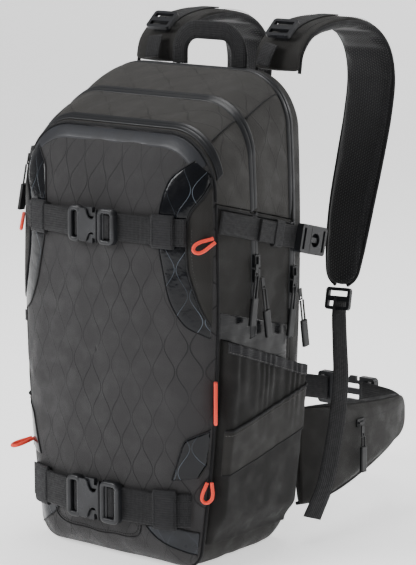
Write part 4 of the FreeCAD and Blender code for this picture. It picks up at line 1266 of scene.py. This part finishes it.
def pocket_surface(y, z, side, lift):
    points, normals = side_points(y, z, side)
    top = POCKET_MOUTH_Z - POCKET_FALL * (y - SECOND_ZIP_Y)
    share = np.clip((z - POCKET_Z0) / (top - POCKET_Z0), 0, 1)
    out = POCKET_BULGE * pocket_shape(y, share)
    gathers = 0.9 * np.sin(y / 1.9 + 2.0 * np.sin(y / 9.0)) * ease(share, 0.55, 0.97)
    folds = 1.5 * fbm(points, 48.0, 4.0 + side, 3) * ease(share, 1.0, 0.8)
    drape = 1.3 * np.sin((z * 0.8 + y * 0.9) / 13.0) * bump(share, 0.22, 0.16)
    edge = ease(y, POCKET_Y0, POCKET_Y0 + 10) * ease(y, POCKET_Y1, POCKET_Y1 - 10)
    out = out + edge * np.minimum(gathers + folds + drape, 1.4) + lift
    return points + normals * out[..., None], normals


def side_pocket(word, side):
    columns, rows = 110, 90
    y = np.linspace(POCKET_Y0, POCKET_Y1, columns)[None, :] + np.zeros((rows, 1))
    top = POCKET_MOUTH_Z - POCKET_FALL * (y - SECOND_ZIP_Y)
    share = np.linspace(0, 1, rows)[:, None]
    z = POCKET_Z0 + share * (top - POCKET_Z0)
    points, normals = pocket_surface(y, z, side, 0.0)
    cloth = sheet_mesh(word + "_pocket_cloth", points, normals, 1.8, np.stack([y, z], -1), pocket_cloth,
                       lining_cloth)
    finish_piece(cloth, "root", (word + "_side_pocket",))


def pocket_trim(name, side, low, high, columns, rows, lift, material, thickness=1.1):
    """A band on the pocket between two heights, each a function of depth."""
    y = np.linspace(POCKET_Y0 + 3, POCKET_Y1 - 3, columns)[None, :] + np.zeros((rows, 1))
    share = np.linspace(0, 1, rows)[:, None]
    z = low(y) + share * (high(y) - low(y))
    points, normals = pocket_surface(y, z, side, lift)
    return sheet_mesh(name, points, normals, thickness, np.stack([z, y], -1), material)


def mouth_z(y):
    return POCKET_MOUTH_Z - 0.5 - POCKET_FALL * (y - SECOND_ZIP_Y)


def wing_middle_z(y):
    return 132.0 + WING_RISE * (y - CORNER_Y)


HEM_DEPTH, WING_HALF = 12.0, 25.0


def pocket_dressing():
    """Elastic hem, compression wing, bindings and stitches of both side pockets."""
    hems, wings, threads = [], [], []
    for word, side in (("right", 1.0), ("left", -1.0)):
        side_pocket(word, side)
        hems.append(pocket_trim("hem", side, lambda y: mouth_z(y) - HEM_DEPTH, mouth_z, 150, 8, 1.9,
                                elastic_weave))
        wings.append(pocket_trim("wing", side, lambda y: wing_middle_z(y) - WING_HALF,
                                 lambda y: wing_middle_z(y) + WING_HALF, 110, 20, 1.5, side_cloth))
        y = np.linspace(POCKET_Y0 + 3, POCKET_Y1 - 3, 90)
        for z, radius in ((wing_middle_z(y) + WING_HALF, 1.5), (wing_middle_z(y) - WING_HALF, 0.8)):
            line, normals = pocket_surface(y, z, side, 1.6)
            wings.append(tube("binding", line, radius, dark_cloth, 90, 8))
        line, normals = pocket_surface(y, wing_middle_z(y) + 20.0, side, 1.9)
        threads.append(stitches("thread", line, normals))
        line, normals = pocket_surface(y, mouth_z(y) - 10.5, side, 2.3)
        threads.append(stitches("thread", line, normals))
    finish_piece(joined("pocket_hem_cloth", hems), "root", ("pocket_elastics",))
    finish_piece(joined("pocket_wing_cloth", wings), "root", ("pocket_wings",))
    finish_piece(joined("pocket_stitches", threads), "root")


pocket_dressing()


# ---- pads ---------------------------------------------------------------------------------------
def inflate(obj, pressure=4.0, cap=6.0, frames=20):
    """Cloth simulation of a closed form under inner pressure, with each point's move capped."""
    rest = [v.co.copy() for v in obj.data.vertices]
    cloth = obj.modifiers.new("cloth", "CLOTH")
    settings = cloth.settings
    settings.use_pressure = True
    settings.uniform_pressure_force = pressure
    settings.effector_weights.gravity = 0.0
    settings.quality = 5
    settings.mass = 0.3
    settings.tension_stiffness = settings.compression_stiffness = 12.0
    cloth.collision_settings.use_collision = False
    cloth.point_cache.frame_start, cloth.point_cache.frame_end = 1, frames
    scene = bpy.context.scene
    for number in range(1, frames + 1):
        scene.frame_set(number)
    shaped = obj.evaluated_get(bpy.context.evaluated_depsgraph_get())
    moved = [v.co.copy() for v in shaped.data.vertices]
    obj.modifiers.remove(cloth)
    for vertex, start, end in zip(obj.data.vertices, rest, moved):
        step = end - start
        length = step.length
        if length > cap * MM:
            step *= cap * MM / length
        vertex.co = start + step
    scene.frame_set(1)
    return obj


def smoothed(obj, levels=1):
    """One subdivision, applied."""
    modifier = obj.modifiers.new("smooth", "SUBSURF")
    modifier.levels = modifier.render_levels = levels
    bpy.context.view_layer.objects.active = obj
    bpy.ops.object.select_all(action="DESELECT")
    obj.select_set(True)
    bpy.ops.object.modifier_apply(modifier=modifier.name)
    return obj


def block_pad(name, x0, x1, z0, z1, depth, channels=()):
    """A foam pad on the back panel: rounded corners, domed face, sewn channels across."""
    columns, rows = 34, 30
    u = np.linspace(-1, 1, columns)[None, :]
    v = np.linspace(-1, 1, rows)[:, None]
    disc_u, disc_v = u * np.sqrt(1 - 0.5 * v**2), v * np.sqrt(1 - 0.5 * u**2)
    power = 0.32
    square_u = disc_u * (1 - power) + u * power + 0 * v
    square_v = disc_v * (1 - power) + v * power + 0 * u
    x = 0.5 * (x0 + x1) + 0.5 * (x1 - x0) * square_u
    z = 0.5 * (z0 + z1) + 0.5 * (z1 - z0) * square_v
    rise = (np.clip(1 - np.abs(u)**4, 0, 1) * np.clip(1 - np.abs(v)**4, 0, 1))**0.4
    y = BACK_Y + 0.6 + (depth - 2.2) * rise
    for place in channels:
        y = y - 3.2 * bump(z, place, 2.6) * rise
    points = np.stack([x, y, z], -1)
    inner = points.copy()
    inner[..., 1] = BACK_Y + 0.45
    count = rows * columns
    verts = np.concatenate([points.reshape(-1, 3), inner.reshape(-1, 3)])
    faces = grid_faces(rows, columns, False) + grid_faces(rows, columns, False, count, True)
    ring = ([(0, j) for j in range(columns)] + [(i, columns - 1) for i in range(1, rows)]
            + [(rows - 1, j) for j in range(columns - 2, -1, -1)] + [(i, 0) for i in range(rows - 2, 0, -1)])
    ring = [i * columns + j for i, j in ring]
    faces += [(ring[(k + 1) % len(ring)], ring[k], ring[k] + count, ring[(k + 1) % len(ring)] + count)
              for k in range(len(ring))]
    uvs = np.concatenate([np.stack([x, z], -1).reshape(-1, 2)] * 2) * MM
    a, b, c = (verts[k] for k in faces[0][:3])
    if np.cross(b - a, c - b)[1] < 0:
        faces = [face[::-1] for face in faces]
    return make_mesh(name, verts, faces, uvs, [spacer_mesh])


def back_padding():
    pads = []
    for z0, z1 in ((384.0, 466.0), (284.0, 366.0)):
        for x0, x1 in ((16.0, 122.0), (-122.0, -16.0)):
            pads.append(inflate(block_pad("pad", x0, x1, z0, z1, 11.5, (0.5 * (z0 + z1),)), cap=3.0))
    finish_piece(smoothed(joined("back_pad_forms", pads)), "root", ("back_pads",))
    lumbar = inflate(block_pad("lumbar_form", -92.0, 92.0, 70.0, 190.0, 13.5, (110.0, 150.0)), cap=3.0)
    finish_piece(smoothed(lumbar), "root", ("lumbar_pad",))
    x = np.linspace(-102, 102, 60)[None, :] + np.zeros((14, 1))
    z = np.linspace(476, 512, 14)[:, None] + 0 * x
    y = BACK_Y + 3.2 + 0.6 * np.cos(x / 102 * 1.5) + 0 * z
    points = np.stack([x, y, z], -1)
    yoke = sheet_mesh("yoke_cloth", points, np.broadcast_to([0.0, 1.0, 0.0], points.shape), 2.6,
                      np.stack([x, z], -1), back_cloth)
    finish_piece(yoke, "root", ("harness_yoke",))


PAD_LINE = [(87.0, 104.5, 530.0, 62.0), (87.0, 110.0, 553.0, 62.0), (87.0, 131.0, 572.0, 62.0),
            (87.0, 165.0, 580.0, 62.0), (87.0, 205.0, 581.0, 63.0), (88.0, 243.0, 572.0, 64.0),
            (89.0, 270.0, 548.0, 65.0), (90.0, 279.0, 512.0, 66.0), (92.0, 270.0, 468.0, 66.0),
            (95.0, 252.0, 420.0, 65.0), (98.0, 232.0, 368.0, 62.0), (101.0, 216.0, 318.0, 54.0),
            (103.0, 206.0, 276.0, 40.0)]
HIP_LINE = [(119.0, 98.0, 95.0, 112.0), (128.0, 122.0, 96.0, 112.0), (133.0, 155.0, 98.0, 104.0),
            (134.0, 195.0, 101.0, 90.0), (131.0, 238.0, 104.0, 74.0), (124.0, 280.0, 107.0, 58.0),
            (113.0, 312.0, 109.0, 42.0)]


def pad_section(thickness, count=36, edge=0.42):
    """Flat pad with full, rounded edges; the first half of the ring is the outer face."""
    turn = np.linspace(0, 2 * math.pi, count, endpoint=False)
    across = np.sign(np.cos(turn)) * np.abs(np.cos(turn))**edge
    height = np.sign(np.sin(turn)) * np.abs(np.sin(turn))**0.62 * 0.5 * thickness
    return np.stack([across, height], 1)


def turned(points, side):
    return [(p[0] * side,) + tuple(p[1:]) for p in points]


def long_pad(name, line, across, thickness, rows, outer_material, inner_material, cap):
    """A padded band along a line of x, y, z, width: two faces, rounded ends, swollen by simulation."""
    table = smooth_path(line, rows)
    path, widths = table[:, :3], table[:, 3].copy()
    run = np.linspace(0, 1, rows)
    widths *= np.sqrt(np.clip(1 - (np.clip((run - 0.965) / 0.04, 0, 1))**2, 0.05, 1))
    section = pad_section(thickness)
    obj = sweep(name, path, across, widths, section, outer_material)
    obj.data.materials.append(inner_material)
    count = len(section)
    kinds = []
    for index in range(len(obj.data.polygons)):
        kinds.append(1 if index < (rows - 1) * count and index % count >= count // 2 else 0)
    obj.data.polygons.foreach_set("material_index", kinds)
    return inflate(obj, cap=cap), path, widths


def edge_line(path, widths, across, side, height, inset=0.0):
    _, across, normal = frames_along(path, across)
    return path + across * side * (0.5 * widths[:, None] - inset) + normal * height


def outer_is_minus(path, across, outward):
    """Whether the outer face is on the side against the path's own normal."""
    normal = frames_along(path, across)[2]
    middle = len(path) // 2
    return float(np.dot(normal[middle], outward)) < 0


def shoulder_pads():
    for word, side in (("right", 1.0), ("left", -1.0)):
        line = turned(PAD_LINE, side)
        across = (1.0, 0.0, 0.0)
        probe = smooth_path(line, 90)[:, :3]
        flip = outer_is_minus(probe, across, (0.0, 1.0, 0.2))
        faces = (spacer_mesh, side_cloth) if flip else (side_cloth, spacer_mesh)
        obj, path, widths = long_pad(word + "_shoulder_form", line, across, 10.4, 90, faces[0], faces[1], 2.5)
        finish_piece(smoothed(obj), word + "_strap", (word + "_shoulder_pad",))
        up = -1.0 if flip else 1.0
        bits = []
        for edge in (1.0, -1.0):
            rim = edge_line(path, widths, across, edge, 0.0, 1.2)
            bits.append(tube("rim", rim, 2.1, dark_cloth, 150, 8))
            inner = edge_line(path[4:-3], widths[4:-3], across, edge, up * 5.6, 8.0)
            bits.append(stitches("thread", inner, up * frames_along(path[4:-3], across)[2], dark_cloth))
        finish_piece(joined(word + "_shoulder_binding", bits), word + "_strap")
        webs = []
        strip = edge_line(path, widths, across, 0.0, up * 6.7)
        webs.append(sweep("web", strip[6:24], across, 20.0, flat_section(1.6), strap_weave))
        webs.append(sweep("web", strip[34:88], across, 20.0, flat_section(1.6), strap_weave))
        finish_piece(joined(word + "_shoulder_webbing", webs), word + "_strap")


def hip_wings():
    for word, side in (("right", 1.0), ("left", -1.0)):
        line = turned(HIP_LINE, side)
        across = (0.0, 0.0, 1.0)
        probe = smooth_path(line, 60)[:, :3]
        flip = outer_is_minus(probe, across, (side, 0.0, 0.0))
        faces = (spacer_mesh, side_cloth) if flip else (side_cloth, spacer_mesh)
        obj, path, widths = long_pad(word + "_hip_form", line, across, 12.0, 60, faces[0], faces[1], 2.5)
        body = word + "_hip"
        finish_piece(smoothed(obj), body, (word + "_hip_wing",))
        up = -1.0 if flip else 1.0
        bits = [tube("rim", edge_line(path, widths, across, edge, 0.0, 1.4), 2.3, dark_cloth, 110, 8)
                for edge in (1.0, -1.0)]
        finish_piece(joined(word + "_hip_binding", bits), body)
        share = 0.5 + 0.06 * np.linspace(0, 1, 60)
        top = edge_line(path, widths * share, across, 1.0, up * 7.1)
        tape = sweep(word + "_hip_zip_tape", top[12:52], across, 11.0, flat_section(1.3), tape_film)
        finish_piece(tape, body)
        groove = edge_line(path, widths * share, across, 1.0, up * 7.8)
        finish_piece(tube(word + "_hip_zip_teeth", groove[12:52], 0.7, dark_cloth, 90, 6), body)
        low = edge_line(path, widths * 0.72, across, -1.0, up * 7.0)
        threads = stitches(word + "_hip_stitches", low[8:54], up * frames_along(path, across)[2][8:54])
        finish_piece(threads, body)


back_padding()
shoulder_pads()
hip_wings()

# ---- loose webbing, haul loop and cord loops ----------------------------------------------------
LOWER_WEB_LINE = [(104.0, 203.5, 262.0, 19.0), (106.0, 198.0, 243.0, 19.0), (122.0, 178.0, 214.0, 19.0),
                  (142.0, 153.0, 180.0, 20.0), (152.0, 134.0, 142.0, 22.0), (155.0, 120.0, 104.0, 23.0),
                  (153.0, 110.0, 66.0, 24.0), (142.0, 100.0, 27.0, 26.0)]
LIFTER_LINE = [(80.0, 84.0, 538.5), (82.0, 90.0, 552.0), (84.0, 96.0, 562.0)]
HIP_WEB_LINE = [(111.5, 315.5, 109.0), (98.0, 332.0, 109.0), (76.0, 346.0, 109.0), (48.0, 354.0, 109.0),
                (26.0, 357.0, 109.0)]
HAUL_HALF, HAUL_LOW, HAUL_HIGH, HAUL_WEB, HAUL_Y = 43.0, 533.5, 573.0, 21.0, 91.0


def loose_webbing():
    for word, side in (("right", 1.0), ("left", -1.0)):
        table = smooth_path(turned(LOWER_WEB_LINE, side), 90)
        tail = sweep(word + "_lower_web", table[:, :3], (0.35 * side, 0.94, 0.0), table[:, 3],
                     flat_section(1.9), strap_weave)
        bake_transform(tail)
        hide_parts(word + "_lower_webbing")
        path = smooth_path(turned(HIP_WEB_LINE, side), 50)
        web = sweep(word + "_hip_web", path, (0, 0, 1), 30.0, flat_section(1.9), strap_weave)
        finish_piece(web, word + "_hip", (word + "_hip_webbing",))
    lifters = [sweep("lifter", smooth_path(turned(LIFTER_LINE, side), 16), (1, 0, 0), 20.0, flat_section(1.7),
                     strap_weave) for side in (1.0, -1.0)]
    finish_piece(joined("load_lifter_webs", lifters), "root", ("load_lifters",))


def haul_loop():
    """Doubled webbing in an arch, its edges sewn together along the grip."""
    turn = np.linspace(0, math.pi / 2, 12)
    radius = 26.0
    corner_x, corner_z = HAUL_HALF - radius, HAUL_HIGH - radius
    right = [(HAUL_HALF, HAUL_Y, z) for z in np.linspace(HAUL_LOW, corner_z - 2, 5)]
    right += [(corner_x + radius * math.cos(t), HAUL_Y, corner_z + radius * math.sin(t)) for t in turn]
    path = np.array(right + [(-x, y, z) for x, y, z in right[::-1]])
    centre = np.array([0.0, HAUL_Y, HAUL_LOW + 6])
    outward = path - centre
    across = outward / np.linalg.norm(outward, axis=1, keepdims=True)
    band = sweep("haul_web", smooth_path(path, 90), np.array([np.interp(np.linspace(0, 1, 90),
                 np.linspace(0, 1, len(path)), across[:, k]) for k in range(3)]).T, HAUL_WEB,
                 flat_section(3.6), strap_weave)
    finish_piece(band, "haul", ("haul_loop",))


CORD_RADIUS = 2.0
# where each loop leaves its seam, the way it points, the way it is wide, its length and width
UPPER_LOOP = ((138.2, -71.8, 368.5), (-0.55, -0.73, -0.42), (-0.42, -0.19, 0.88), 25.0, 10.0)
# the right seam has a long tab on edge; of the lower pair the right one hangs and the left one stands out
SINGLE_LOOPS = [((139.0, -70.5, 214.0), (0.0, 0.0, -1.0), (0.63, -0.777, 0.0), 46.0, 7.0),
                ((129.0, -68.6, 101.0), (-0.12, -0.1, -0.99), (0.777, 0.629, 0.0), 23.0, 11.0),
                ((-130.2, -69.4, 111.0), (-0.42, -0.85, -0.25), (0.9, -0.44, 0.0), 26.0, 11.0)]
LOOP_OUTLINE = [(0.0, -0.45), (0.25, -0.7), (0.55, -1.0), (0.8, -0.98), (0.95, -0.55), (1.0, 0.0),
                (0.95, 0.55), (0.8, 0.98), (0.55, 1.0), (0.25, 0.7), (0.0, 0.45)]


def cord_loops():
    """Loops of cord sewn into the seams: pinched at the seam, round at the end."""
    rows = [(UPPER_LOOP, 1.0), (UPPER_LOOP, -1.0)] + [(row, 1.0) for row in SINGLE_LOOPS]
    loops = []
    for (origin, along, across, length, width), side in rows:
        flip = np.array([side, 1.0, 1.0])
        start = np.array(origin) * flip
        along = np.array(along, float) * flip
        along /= np.linalg.norm(along)
        across = np.array(across, float) * flip
        across /= np.linalg.norm(across)
        path = [start + along * (a * length) + across * (b * 0.5 * width) for a, b in LOOP_OUTLINE]
        loops.append(tube("loop", path, CORD_RADIUS, red_braid, 70, 12))
    finish_piece(joined("cord_loop_forms", loops), "root", ("gear_loops",))


loose_webbing()
haul_loop()
cord_loops()
